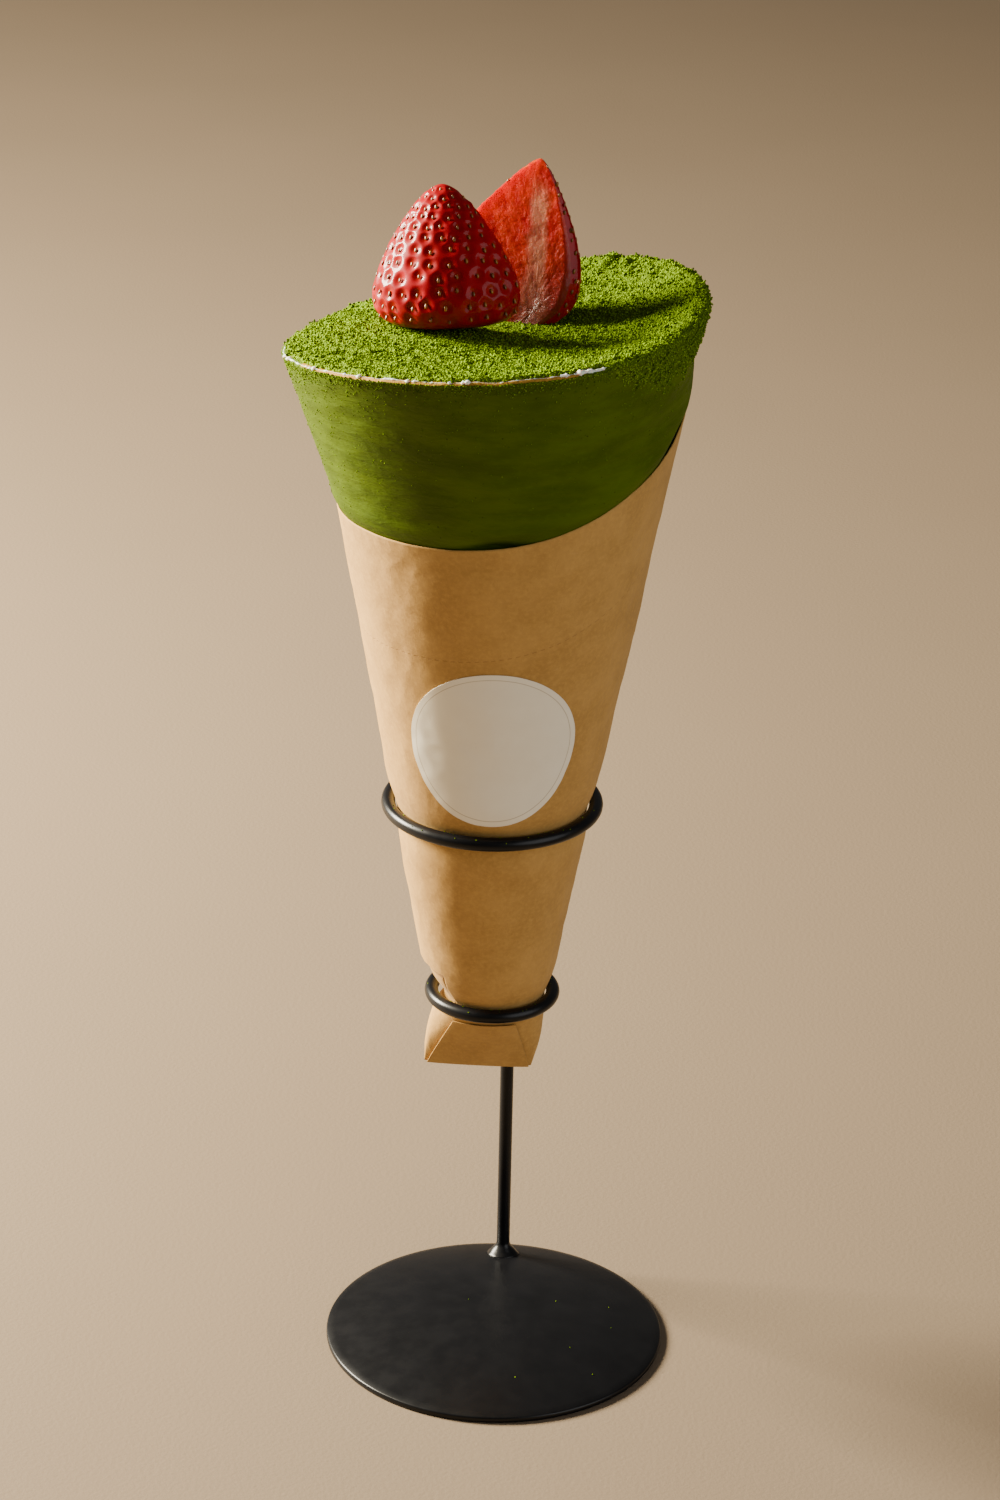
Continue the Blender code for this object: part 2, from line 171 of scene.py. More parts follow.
# Strawberry halves, as in the model
BERRY_FRONT = {
    "base": (-16.0, -20.3, 320.8),
    "apex": (-19.2, -14.5, 357.6),
    "half_width": 21.1 * MM,
    "depth": 0.8,
    "look": 71.5,
    "outline": (2.82, 0.21),
    "bevel": 0.0,
}
BERRY_BACK = {
    "base": (-3.0, -16.1, 320.2),
    "apex": (6.4, -8.5, 363.8),
    "half_width": 18.7 * MM,
    "depth": 0.9,
    "look": -108.5,
    "outline": (1.91, 0.385),
    "bevel": 0.17,
}
SEED_SPACING = 5.1 * MM
DIMPLE_DEPTH = 0.68 * MM
DIMPLE_RADIUS = 1.62 * MM
SEED_SIZE = np.array([0.40, 0.74, 0.26]) * MM
SEED_TILT = 0.35
EDGE_SEEDS = 11
BEVEL_FROM = 0.76
FLESH_TO = 0.84
CUT_SINK = 0.362 * MM
BERRY_SINK = 0.3 * MM

# Cut face, in mm: lean of its core line, and height and foot of the fan of its fibres
CORE_LEAN = 9.0
FAN_HEIGHT = 44.0
FAN_FOOT = 6.0

# Relief of each surface: height and size of its lumps
WELD_LUMPS = (0.35 * MM, 2.0 * MM)
PAPER_DENTS = (0.45 * MM, 26.0 * MM)
PAPER_CREASES = (0.22 * MM, 9.0 * MM)
CREPE_DENTS = (0.30 * MM, 17.0 * MM)
CREPE_WRINKLES = (0.35 * MM, 5.0 * MM)
RIM_RAGGED = (0.35 * MM, 4.0 * MM)
POWDER_SWELL = (0.50 * MM, 9.0 * MM)
POWDER_GRAIN = (0.42 * MM, 2.0 * MM)
POWDER_EDGE_GRAIN = (0.38 * MM, 1.8 * MM)
BERRY_LUMPS = (0.25 * MM, 8.0 * MM)
BERRY_RAGGED = (0.40 * MM, 2.8 * MM)
CUT_GRAIN = (0.14 * MM, 2.5 * MM)

# Camera: place of the plate's middle in the 1000 x 1500 view, and the way that it looks
VIEW_WIDTH = 1000.0
VIEW_HEIGHT = 1500.0
LENS = 100.0
SENSOR = 36.0
FOOT_IN_VIEW = (493.5, 1332.6)
CAMERA_DISTANCE = 1.2484
CAMERA_ELEVATION = 23.4
CAMERA_AZIMUTH = 3.5
CAMERA_ROLL = 1.2

# Lights: name, place, radius, power and colour
LIGHTS = (
    ("key", (-1.0, 0.32, 0.65), 0.25, 490.0, (1.0, 0.91, 0.72)),
    ("front_fill", (1.5, -1.0, 0.75), 0.9, 70.0, (0.98, 0.98, 0.98)),
)
WORLD_COLOUR = (0.88, 0.86, 0.80, 1.0)
WORLD_STRENGTH = 0.13
FLOOR_HALF = 8.0


# Numbers and noise

def smooth(t):
    t = np.clip(t, 0.0, 1.0)
    return t * t * (3.0 - 2.0 * t)


def turns(count):
    return np.arange(count) * (2 * math.pi / count)


def wave(turn, size_and_direction, count=1):
    """A wave round the cone, highest in the given direction."""
    size, direction = size_and_direction
    return size * np.cos(count * (turn - math.radians(direction)))


def apart(turn, degrees):
    """Degrees between directions and a given one, from -180 to 180."""
    return (np.degrees(turn) - degrees + 180.0) % 360.0 - 180.0


def within(turn, start, end, fade):
    """1 in a stretch of directions and 0 outside it, with soft ends; all in degrees."""
    middle = (start + end) / 2
    return smooth(((end - start) / 2 - np.abs(apart(turn, middle))) / fade + 0.5)


def after(turn, degrees, fade):
    """0 before a direction and 1 after it, with a soft change."""
    return smooth(apart(turn, degrees) / fade + 0.5)


def hill(value, at, width):
    """1 at a value, fading on both sides of it."""
    return np.exp(-(((value - at) / width) ** 2))


def unit(vectors):
    return vectors / np.linalg.norm(vectors, axis=-1, keepdims=True)


def level_way(turn):
    """Level direction of each turn."""
    return np.stack([np.cos(turn), np.sin(turn), np.zeros_like(turn)], axis=-1)


def round_point(x, y, reach, turn, z):
    """Points at a reach round an upright line, as one array."""
    spots = np.broadcast_arrays(x + reach * np.cos(turn), y + reach * np.sin(turn), z)
    return np.stack(spots, axis=-1)


def field(points, size, octaves=1, shift=0.0, stretch=(1.0, 1.0, 1.0)):
    """Noise from about -1 to 1 at an array of points; size is that of its lumps."""
    spots = points.reshape(-1, 3) / (size * np.array(stretch)) + shift
    values = [noise.fractal(spot, 0.9, 2.1, octaves) for spot in spots.tolist()]
    return np.array(values).reshape(points.shape[:-1])


def relief(points, height_and_size, octaves=1, shift=0.0, stretch=(1.0, 1.0, 1.0)):
    height, size = height_and_size
    return height * field(points, size, octaves, shift, stretch)


def lowered(points, height_and_size, octaves, shift=0.0):
    """Relief that goes down from its highest lumps."""
    return height_and_size[0] - relief(points, height_and_size, octaves, shift)


# Forms of the cone, as in the model

def cone_section(z):
    rise = z - AXIS_HEIGHT
    return AXIS_X + AXIS_SLOPE_X * rise, AXIS_Y + AXIS_SLOPE_Y * rise, CONE_RADIUS + CONE_SLOPE * rise


def cone_point(z, turn, offset):
    x, y, radius = cone_section(z)
    return round_point(x, y, radius + offset, turn, z)


def ring_of(node):
    """Centre and radius of the centreline of a wire ring in the frame."""
    low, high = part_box(node)
    return (low + high) / 2, (high.x - low.x) / 2 - WIRE_RADIUS


RING_UPPER = ring_of("stand_ring_upper")
RING_LOWER = ring_of("stand_ring_lower")


def sleeve_section(z):
    """Centre and half axes of the sleeve's outer face, nipped by both rings."""
    lowest = RING_LOWER[0].z
    held = np.maximum(z, lowest)
    x, y, radius = cone_section(held)
    for centre, ring_radius in (RING_UPPER, RING_LOWER):
        ring_x, ring_y, free_radius = cone_section(centre.z)
        nipped = ring_radius - WIRE_RADIUS - NIP_CLEARANCE
        share = hill(held, centre.z, NIP_LENGTH)
        x = x + (centre.x - ring_x) * share
        y = y + (centre.y - ring_y) * share
        radius = radius - (free_radius - nipped) * share
    down = np.clip((lowest - z) / (lowest - FOLD_HEIGHT), 0.0, 1.0)
    wide = radius + (FOLD_HALF_WIDTH - radius) * down + TAIL_BULGE * np.sin(np.pi * down)
    deep = radius + (FOLD_HALF_DEPTH - radius) * down
    return x + (FOLD_X - x) * down, y + (FOLD_Y - y) * down, wide, deep


def sleeve_edge(turn):
    return SLEEVE_EDGE_HEIGHT + wave(turn, SLEEVE_EDGE_TILT) + wave(turn, SLEEVE_EDGE_SADDLE, 2)


def rim_height(turn):
    return RIM_HEIGHT + wave(turn, RIM_TILT) + wave(turn, RIM_SADDLE, 2)


def rim_flare(turn):
    return RIM_FLARE + wave(turn, RIM_FLARE_SHIFT) + wave(turn, RIM_FLARE_OVAL, 2)


def crepe_offset(turn, z):
    """How far the wrap's outer face stands out from the plain cone."""
    edge = sleeve_edge(turn)
    below = np.minimum(1.0, TIP_FILL * (z - CREPE_TIP_HEIGHT) / (edge - CREPE_TIP_HEIGHT))
    inside = -CREPE_TIP_INSET + (CREPE_TIP_INSET - CREPE_INSET) * below
    over = smooth((z - edge) / BULGE_RISE)
    climb = (z - edge) / (rim_height(turn) - edge)
    outside = -CREPE_INSET + CREPE_BULGE * over + (rim_flare(turn) + CREPE_INSET - CREPE_BULGE) * climb
    return np.where(z <= edge, inside, outside)


def dome_height(x, y):
    _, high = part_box("stand_plate")
    share = np.minimum(1.0, (x * x + y * y) / high.x**2)
    return PLATE_RIM_HEIGHT + (high.z - PLATE_RIM_HEIGHT) * (1.0 - share)


# Meshes

def grid_faces(rows, columns, closed=True):
    index = np.arange(rows * columns).reshape(rows, columns)
    right = np.roll(index, -1, axis=1) if closed else index[:, 1:]
    left = index if closed else index[:, :-1]
    return np.stack([left[:-1], right[:-1], right[1:], left[1:]], axis=-1).reshape(-1, 4)


def new_piece(name, verts, faces, materials, values=None, face_materials=None):
    """A smooth-shaded mesh object; values holds named numbers for each of its points."""
    mesh = bpy.data.meshes.new(name)
    mesh.from_pydata(np.asarray(verts).tolist(), [], faces)
    mesh.shade_smooth()
    for key, numbers in (values or {}).items():
        mesh.attributes.new(key, "FLOAT", "POINT").data.foreach_set("value", np.asarray(numbers, np.float32))
    for material in materials:
        mesh.materials.append(material)
    if face_materials is not None:
        mesh.polygons.foreach_set("material_index", face_materials)
    piece = bpy.data.objects.new(name, mesh)
    bpy.context.scene.collection.objects.link(piece)
    return piece


def outward(verts, faces):
    """Faces turned so that the closed body's volume is positive."""
    volume = 0.0
    for face in faces:
        a, b, c = verts[face[0]], verts[face[1]], verts[face[2]]
        volume += np.dot(a, np.cross(b, c))
        if len(face) == 4:
            volume += np.dot(a, np.cross(c, verts[face[3]]))
    return faces if volume > 0 else [tuple(reversed(face)) for face in faces]


def tube(name, grid, material, values=None, ends=True):
    """A closed body through a grid of points whose rows are rings; fans close its ends."""
    rows, columns, _ = grid.shape
    verts = grid.reshape(-1, 3)
    faces = grid_faces(rows, columns).tolist()
    named = {key: np.asarray(numbers).reshape(-1) for key, numbers in (values or {}).items()}
    first = len(verts)
    last = first - columns
    for i in range(columns):
        j = (i + 1) % columns
        if ends:
            faces += [(first, j, i), (first + 1, last + i, last + j)]
        else:
            faces.append((last + i, last + j, j, i))
    if ends:
        verts = np.concatenate([verts, grid[:1].mean(axis=1), grid[-1:].mean(axis=1)])
        for key, numbers in named.items():
            middles = [numbers[:columns].mean(), numbers[-columns:].mean()]
            named[key] = np.concatenate([numbers, middles])
    return new_piece(name, verts, outward(verts, faces), [material], named)


def turned(profile, centre, count):
    """Grid of a turned shape: profile is a list of radius and height."""
    rows = [round_point(0.0, 0.0, radius, turns(count), z) for radius, z in profile]
    return np.array(rows) + np.array(centre)


def ball(rings, segments):
    """Verts and faces of a unit ball with its poles on Z."""
    verts = [(0.0, 0.0, 1.0)]
    for k in range(1, rings):
        lean = math.pi * k / rings
        for t in turns(segments):
            verts.append((math.sin(lean) * math.cos(t), math.sin(lean) * math.sin(t), math.cos(lean)))
    verts.append((0.0, 0.0, -1.0))
    faces = []
    for i in range(segments):
        faces.append((0, 1 + i, 1 + (i + 1) % segments))
    for k in range(rings - 2):
        for i in range(segments):
            j = (i + 1) % segments
            a = 1 + k * segments
            faces.append((a + i, a + segments + i, a + segments + j, a + j))
    last = len(verts) - 1
    start = last - segments
    for i in range(segments):
        faces.append((last, start + (i + 1) % segments, start + i))
    return np.array(verts), faces


def scattered(name, places, frames, sizes, material, rings, segments, uneven):
    """One mesh of many small lumps; frames are three axes for each and sizes its half lengths on them."""
    base, base_faces = ball(rings, segments)
    count = len(places)
    form = base[None] * (1.0 + RANDOM.uniform(-uneven, uneven, (count, len(base), 1)))
    form = form * sizes[:, None, :]
    verts = np.einsum("nij,nvi->nvj", frames, form) + places[:, None, :]
    faces = []
    for n in range(count):
        shift = n * len(base)
        faces += [tuple(shift + i for i in face) for face in base_faces]
    tint = np.repeat(RANDOM.uniform(0, 1, count), len(base))
    return new_piece(name, verts.reshape(-1, 3), faces, [material], {"tint": tint})


def frames_on(normals):
    """Three axes for each normal, turned at random about it; the third is the normal."""
    normals = unit(normals)
    first = unit(np.cross(normals, RANDOM.normal(size=normals.shape)))
    return np.stack([first, np.cross(normals, first), normals], axis=1)


def place(piece, slot, *nodes):
    """The piece rides on the only body and stands for the named nodes, which it hides; slot is not used."""
    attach(piece, "root")
    if nodes:
        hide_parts(*nodes)


# Node materials

class Paint:
    """A Principled material with short calls for the nodes that the finishes share."""

    def __init__(self, name, **sockets):
        self.material = bpy.data.materials.new(name)
        self.material.use_nodes = True
        self.tree = self.material.node_tree
        self.shader = self.tree.nodes["Principled BSDF"]
        for socket, value in sockets.items():
            self.set(socket.replace("_", " "), value)

    def feed(self, socket, value):
        if isinstance(value, bpy.types.NodeSocket):
            self.tree.links.new(value, socket)
        elif isinstance(value, (tuple, list)) and len(value) == 3 and socket.type == "RGBA":
            socket.default_value = (*value, 1.0)
        else:
            socket.default_value = value

    def set(self, socket, value):
        self.feed(self.shader.inputs[socket], value)

    def add(self, kind, inputs, **settings):
        node = self.tree.nodes.new("ShaderNode" + kind)
        for key, value in settings.items():
            setattr(node, key, value)
        for key, value in inputs.items():
            self.feed(node.inputs[key], value)
        return node

    def where(self, stretch=(1.0, 1.0, 1.0)):
        spot = self.add("TexCoord", {}).outputs["Object"]
        return self.add("Mapping", {"Vector": spot, "Scale": stretch}).outputs["Vector"]

    def number(self, name):
        return self.add("Attribute", {}, attribute_name=name).outputs["Fac"]

    def noise(self, size, detail=2.0, rough=0.5, stretch=(1.0, 1.0, 1.0), at=None, twist=0.0):
        inputs = {"Vector": at or self.where(stretch), "Scale": 1.0 / size}
        inputs.update({"Detail": detail, "Roughness": rough, "Distortion": twist})
        return self.add("TexNoise", inputs).outputs["Fac"]

    def cells(self, size, at):
        return self.add("TexVoronoi", {"Vector": at, "Scale": 1.0 / size}).outputs["Distance"]

    def span(self, value, low, high, to_low=0.0, to_high=1.0):
        inputs = {"Value": value, "From Min": low, "From Max": high, "To Min": to_low, "To Max": to_high}
        return self.add("MapRange", inputs, interpolation_type="SMOOTHSTEP").outputs["Result"]

    def math(self, kind, a, b=0.0):
        return self.add("Math", {0: a, 1: b}, operation=kind).outputs[0]

    def plus(self, a, b):
        return self.math("ADD", a, b)

    def less(self, a, b):
        return self.math("SUBTRACT", a, b)

    def times(self, a, b):
        return self.math("MULTIPLY", a, b)

    def mix(self, share, a, b):
        node = self.add("Mix", {}, data_type="RGBA")
        for key, value in ((0, share), (6, a), (7, b)):
            self.feed(node.inputs[key], value)
        return node.outputs[2]

    def over(self, tone, value, low, high, share, colour):
        """The tone with up to a share of a colour on it as a value rises from low to high."""
        return self.mix(self.span(value, low, high, 0.0, share), tone, colour)

    def finish(self, tone):
        self.set("Base Color", tone)
        return self.material

    def rough(self, value, least, most):
        self.set("Roughness", self.span(value, 0.3, 0.7, least, most))

    def bumps(self, *layers):
        """Relief in layers of height, distance and strength."""
        normal = None
        for height, distance, strength in layers:
            inputs = {"Height": height, "Distance": distance, "Strength": strength}
            if normal is not None:
                inputs["Normal"] = normal
            normal = self.add("Bump", inputs).outputs["Normal"]
        self.set("Normal", normal)


def steel_paint():
    paint = Paint("satin_black_steel", Metallic=0.0, Specular_IOR_Level=0.24)
    tone = paint.mix(paint.noise(9 * MM, 3.0), (0.002, 0.002, 0.0025), (0.005, 0.005, 0.006))
    paint.rough(paint.noise(5 * MM, 2.0), 0.29, 0.34)
    paint.bumps((paint.noise(0.5 * MM, 2.0), 0.02 * MM, 0.3))
    return paint.finish(tone)


def paper_paint():
    paint = Paint("kraft_paper", Specular_IOR_Level=0.2, Sheen_Weight=0.05, Sheen_Roughness=0.5)
    cloud = paint.noise(14 * MM, 3.0, 0.6)
    pulp = paint.noise(1.3 * MM, 4.0, 0.7)
    fibre = paint.noise(0.9 * MM, 3.0, 0.65, stretch=(1.0, 1.0, 0.16), twist=1.2)
    across = paint.noise(0.8 * MM, 3.0, 0.65, stretch=(0.2, 0.2, 1.0), twist=1.0)
    tone = paint.mix(paint.span(cloud, 0.3, 0.7), (0.400, 0.220, 0.058), (0.490, 0.277, 0.078))
    tone = paint.over(tone, pulp, 0.35, 0.75, 0.5, (0.62, 0.365, 0.100))
    tone = paint.over(tone, fibre, 0.60, 0.78, 0.45, (0.29, 0.145, 0.040))
    tone = paint.over(tone, across, 0.64, 0.80, 0.30, (0.66, 0.405, 0.135))
    line = paint.math("ABSOLUTE", paint.less(paint.number("below_edge"), TEAR_LINE_DROP / MM))
    dash = paint.math("SINE", paint.number("round_way"))
    torn = paint.times(paint.span(line, 0.08, 0.22, 1.0, 0.0), paint.span(dash, -0.3, 0.1))
    tone = paint.mix(paint.times(torn, 0.35), tone, (0.20, 0.085, 0.022))
    # Painted shade: the pinch's pocket darkened to dark brown, standing in for the shadow under the paper's
    # free edge.
    tone = paint.over(tone, paint.number("pocket_painted_shade"), 0.1, 0.9, 0.85, (0.070, 0.026, 0.006))
    paint.rough(pulp, 0.62, 0.78)
    grain = paint.less(paint.plus(paint.times(fibre, 0.6), pulp), paint.times(torn, 1.5))
    paint.bumps((cloud, 0.35 * MM, 0.5), (grain, 0.09 * MM, 0.6))
    return paint.finish(tone)


def label_paint():
    paint = Paint("label_paper", Specular_IOR_Level=0.4, Coat_Weight=0.12, Coat_Roughness=0.35)
    tone = paint.mix(paint.noise(6 * MM, 3.0), (0.89, 0.82, 0.66), (0.95, 0.89, 0.73))
    tone = paint.over(tone, paint.noise(0.6 * MM, 3.0), 0.62, 0.8, 0.2, (0.70, 0.62, 0.46))
    border = paint.span(paint.math("ABSOLUTE", paint.less(paint.number("spread"), 0.93)), 0.003, 0.007)
    tone = paint.mix(border, (0.60, 0.52, 0.38), tone)
    paint.rough(paint.noise(3 * MM, 2.0), 0.42, 0.55)
    paint.bumps((paint.noise(0.5 * MM, 3.0), 0.04 * MM, 0.4))
    return paint.finish(tone)


def crepe_paint():
    paint = Paint("green_crepe", Specular_IOR_Level=0.08)
    cloud = paint.noise(11 * MM, 3.0, 0.6, stretch=(0.6, 0.6, 1.7))
    skin = paint.noise(1.6 * MM, 3.0, 0.6)
    tone = paint.mix(paint.span(cloud, 0.3, 0.7), (0.047, 0.078, 0.0), (0.071, 0.114, 0.0))
    tone = paint.over(tone, skin, 0.55, 0.75, 0.45, (0.074, 0.130, 0.0))
    pores = paint.span(paint.cells(2.2 * MM, paint.where()), 0.07, 0.13, 1.0, 0.0)
    pores = paint.times(pores, paint.span(cloud, 0.5, 0.6))
    tone = paint.mix(paint.times(pores, 0.7), tone, (0.010, 0.014, 0.001))
    flecks = paint.noise(0.42 * MM, 2.0, 0.7)
    streaks = paint.noise(1.1 * MM, 2.0, 0.6, stretch=(1.0, 1.0, 0.35))
    dusty = paint.plus(flecks, paint.times(streaks, 0.5))
    limit = paint.span(paint.number("dust"), 0.0, 1.0, 1.12, 0.62)
    dust = paint.span(paint.less(dusty, limit), 0.0, 0.08)
    tone = paint.mix(paint.times(dust, 0.85), tone, (0.105, 0.185, 0.0))
    crumb = paint.mix(paint.noise(1.1 * MM, 3.0, 0.7), (0.22, 0.090, 0.008), (0.64, 0.37, 0.06))
    browned = paint.span(paint.plus(paint.number("browned"), paint.noise(0.8 * MM, 3.0, 0.7)), 0.95, 1.25)
    tone = paint.mix(browned, tone, crumb)
    paint.set("Roughness", paint.span(dust, 0.0, 1.0, 0.6, 0.9))
    creases = paint.noise(3.2 * MM, 4.0, 0.65, stretch=(0.3, 0.3, 1.5), twist=0.6)
    crust = paint.less(dust, paint.times(pores, 1.5))
    paint.bumps((creases, 0.7 * MM, 0.55), (skin, 0.16 * MM, 0.5), (crust, 0.12 * MM, 0.7))
    return paint.finish(tone)


def powder_paint():
    paint = Paint("green_powder", Roughness=0.95, Specular_IOR_Level=0.05)
    warp = paint.add("TexNoise", {"Vector": paint.where(), "Scale": 0.9 / MM}).outputs["Color"]
    warp = paint.add("VectorMath", {0: warp, 1: (0.35 * MM,) * 3}, operation="MULTIPLY").outputs[0]
    spot = paint.add("VectorMath", {0: paint.where(), 1: warp}, operation="ADD").outputs[0]
    crumbs = paint.cells(0.62 * MM, spot)
    lumps = paint.noise(2.4 * MM, 3.0, 0.6)
    tone = paint.mix(paint.span(lumps, 0.35, 0.7), (0.180, 0.305, 0.0), (0.270, 0.440, 0.0))
    # Painted shade: the cracks between the crumbs are darkened, more so at the back and the right.
    crack_shade = paint.plus(crumbs, paint.times(paint.number("right_crack_shade"), 0.16))
    tone = paint.over(tone, crack_shade, 0.28, 0.60, 0.8, (0.030, 0.056, 0.0))
    tone = paint.over(tone, paint.number("tint"), 0.4, 1.0, 0.35, (0.30, 0.49, 0.0))
    paint.bumps((lumps, 0.5 * MM, 0.5), (paint.times(crumbs, -1.0), 0.55 * MM, 1.0))
    return paint.finish(tone)


def cream_paint():
    paint = Paint("whipped_cream", Roughness=0.45, Subsurface_Weight=0.25, Subsurface_Scale=0.003)
    tone = paint.mix(paint.noise(3 * MM, 3.0), (0.80, 0.78, 0.66), (0.88, 0.87, 0.80))
    paint.bumps((paint.noise(1.0 * MM, 4.0, 0.7), 0.25 * MM, 0.6))
    return paint.finish(tone)


def skin_paint():
    paint = Paint("strawberry_skin", Specular_IOR_Level=0.08, Subsurface_Weight=0.03, Subsurface_Scale=0.002,
                  Coat_Weight=0.19, Coat_Roughness=0.06)
    paint.set("Subsurface Radius", (1.0, 0.25, 0.15))
    blush = paint.noise(9 * MM, 2.0)
    tone = paint.mix(paint.span(blush, 0.3, 0.7), (0.24, 0.0, 0.003), (0.33, 0.0, 0.006))
    tone = paint.over(tone, paint.number("dimple"), 0.25, 0.95, 0.75, (0.32, 0.008, 0.0))
    fine = paint.noise(0.5 * MM, 2.0)
    tone = paint.over(tone, fine, 0.55, 0.8, 0.2, (0.38, 0.006, 0.002))
    paint.rough(paint.noise(2 * MM, 2.0), 0.34, 0.46)
    paint.bumps((fine, 0.03 * MM, 0.35))
    return paint.finish(tone)


def flesh_paint():
    """Cut face: pale core line, fibres that fan out from it, a dark line of skin round it, and painted shade
    that darkens its lower part.

    across is in mm from the middle, and climb runs from 0 at the base to 1 at the tip.
    """
    paint = Paint("strawberry_flesh", Specular_IOR_Level=0.3, Subsurface_Weight=0.38, Subsurface_Scale=0.010,
                  Coat_Weight=0.08, Coat_Roughness=0.12)
    paint.set("Subsurface Radius", (1.0, 0.22, 0.08))
    across = paint.number("across")
    climb = paint.number("climb")
    edge = paint.number("edge")
    core = paint.times(paint.less(1.0, climb), CORE_LEAN)
    aside = paint.less(across, core)
    wobble = paint.times(paint.less(paint.noise(6 * MM, 2.0), 0.5), 4.0)
    from_core = paint.math("ABSOLUTE", paint.plus(aside, wobble))
    lift = paint.less(paint.times(climb, FAN_HEIGHT), FAN_FOOT)
    angle = paint.math("ARCTAN2", lift, aside)
    reach = paint.math("SQRT", paint.plus(paint.times(aside, aside), paint.times(lift, lift)))
    fan = paint.add("CombineXYZ", {"X": paint.times(angle, 7.0), "Y": paint.times(reach, 0.12)})
    fibres = paint.noise(1.0, 4.0, 0.7, at=fan.outputs[0], twist=0.3)
    grain = paint.noise(0.7 * MM, 3.0, 0.7)
    tone = paint.mix(paint.span(fibres, 0.35, 0.65), (0.50, 0.000, 0.000), (0.74, 0.036, 0.001))
    tone = paint.mix(paint.span(climb, 0.0, 0.45, 0.45, 0.0), tone, (0.50, 0.020, 0.003))
    tone = paint.over(tone, across, 4.0, 15.0, 0.85, (0.34, 0.006, 0.0))
    wide = paint.span(climb, 0.0, 0.5, 7.0, 3.6)
    pale = paint.less(1.0, paint.math("MINIMUM", paint.math("DIVIDE", from_core, wide), 1.0))
    pale = paint.times(paint.span(pale, 0.0, 0.75), paint.span(climb, 0.93, 0.70))
    tone = paint.mix(paint.times(pale, paint.span(fibres, 0.2, 0.6, 0.35, 0.8)), tone, (0.60, 0.25, 0.14))
    tone = paint.over(tone, grain, 0.60, 0.75, 0.35, (0.80, 0.14, 0.03))
    tone = paint.over(tone, edge, 0.78, 0.95, 0.95, (0.32, 0.002, 0.002))
    # Painted shade: the face darkens towards its base, standing in for the other half's shadow and for light
    # passing only through the thin top.
    tone = paint.mix(paint.span(climb, 0.05, 0.80, 0.80, 0.0), tone, (0.10, 0.002, 0.000))
    paint.rough(grain, 0.28, 0.5)
    threads = paint.plus(paint.times(fibres, 1.3), paint.times(grain, 0.7))
    paint.bumps((threads, 0.30 * MM, 0.7))
    return paint.finish(tone)


def seed_paint():
    paint = Paint("strawberry_seeds", Roughness=0.42, Coat_Weight=0.12, Coat_Roughness=0.25)
    tone = paint.mix(paint.number("tint"), (0.13, 0.034, 0.001), (0.27, 0.088, 0.002))
    tone = paint.over(tone, paint.noise(0.5 * MM, 2.0), 0.5, 0.8, 0.5, (0.30, 0.050, 0.006))
    paint.bumps((paint.noise(0.3 * MM, 1.0), 0.05 * MM, 0.4))
    return paint.finish(tone)


def floor_paint():
    paint = Paint("pale_floor", Roughness=0.7, Specular_IOR_Level=0.2)
    tone = paint.mix(paint.noise(160 * MM, 2.0), (0.163, 0.120, 0.080), (0.176, 0.130, 0.087))
    paint.bumps((paint.noise(1.4 * MM, 3.0), 0.25 * MM, 0.45))
    return paint.finish(tone)


# Holder

def make_plate(material):
    _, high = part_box("stand_plate")
    radius = high.x
    rise = high.z - PLATE_RIM_HEIGHT
    edge = PLATE_EDGE_ROUNDING
    profile = []
    for start, end, level in ((-math.pi / 2, 0, edge), (0, math.pi / 2.4, PLATE_RIM_HEIGHT - edge)):
        for a in np.linspace(start, end, 6):
            profile.append((radius - edge + edge * math.cos(a), level + edge * math.sin(a)))
    for share in np.linspace(0.975, 0.02, 40):
        profile.append((radius * share, PLATE_RIM_HEIGHT + rise * (1 - share**2)))
    plate = tube("holder_plate", turned(profile, (0, 0, 0), 160), material)
    place(plate, "stand_metal", "stand_plate")


def make_post(material):
    """Wire post with a lumpy weld where it meets the plate."""
    low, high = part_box("stand_post")
    post_y = (low.y + high.y) / 2
    turn = turns(32)
    rows = []
    for share in np.linspace(0, 1, 14):
        radius = WIRE_RADIUS + (WELD_RADIUS - WIRE_RADIUS) * (1 - smooth(share**0.75))
        spots = round_point(0.0, post_y, radius, turn, 0.0)
        lumps = relief(spots + share * WELD_HEIGHT * UP, WELD_LUMPS) * (1 - share)
        spots += lumps[:, None] * level_way(turn)
        floor = dome_height(spots[:, 0], spots[:, 1]) * (1 - share) + dome_height(0.0, post_y) * share
        spots[:, 2] = floor + share * WELD_HEIGHT - 0.1 * MM * (1 - share) + 0.25 * lumps
        rows.append(spots)
    seat = dome_height(0.0, post_y) + WELD_HEIGHT
    tip = 0.5 * MM
    profile = [(WIRE_RADIUS, z) for z in np.linspace(seat + 1 * MM, high.z - tip, 30)]
    for a in np.linspace(0.2, math.pi / 2.2, 5):
        profile.append((WIRE_RADIUS - tip + tip * math.cos(a), high.z - tip + tip * math.sin(a)))
    grid = np.concatenate([np.array(rows), turned(profile, (0, post_y, 0), 32)])
    place(tube("holder_post", grid, material), "stand_metal", "stand_post")


def make_ring(name, node, ring, material):
    centre, radius = ring
    round_wire = turns(20)
    out = radius + WIRE_RADIUS * np.cos(round_wire)
    rows = [round_point(0.0, 0.0, out, turn, WIRE_RADIUS * np.sin(round_wire)) for turn in turns(144)]
    grid = np.array(rows) + np.array(centre)
    place(tube(name, grid, material, ends=False), "stand_metal", node)


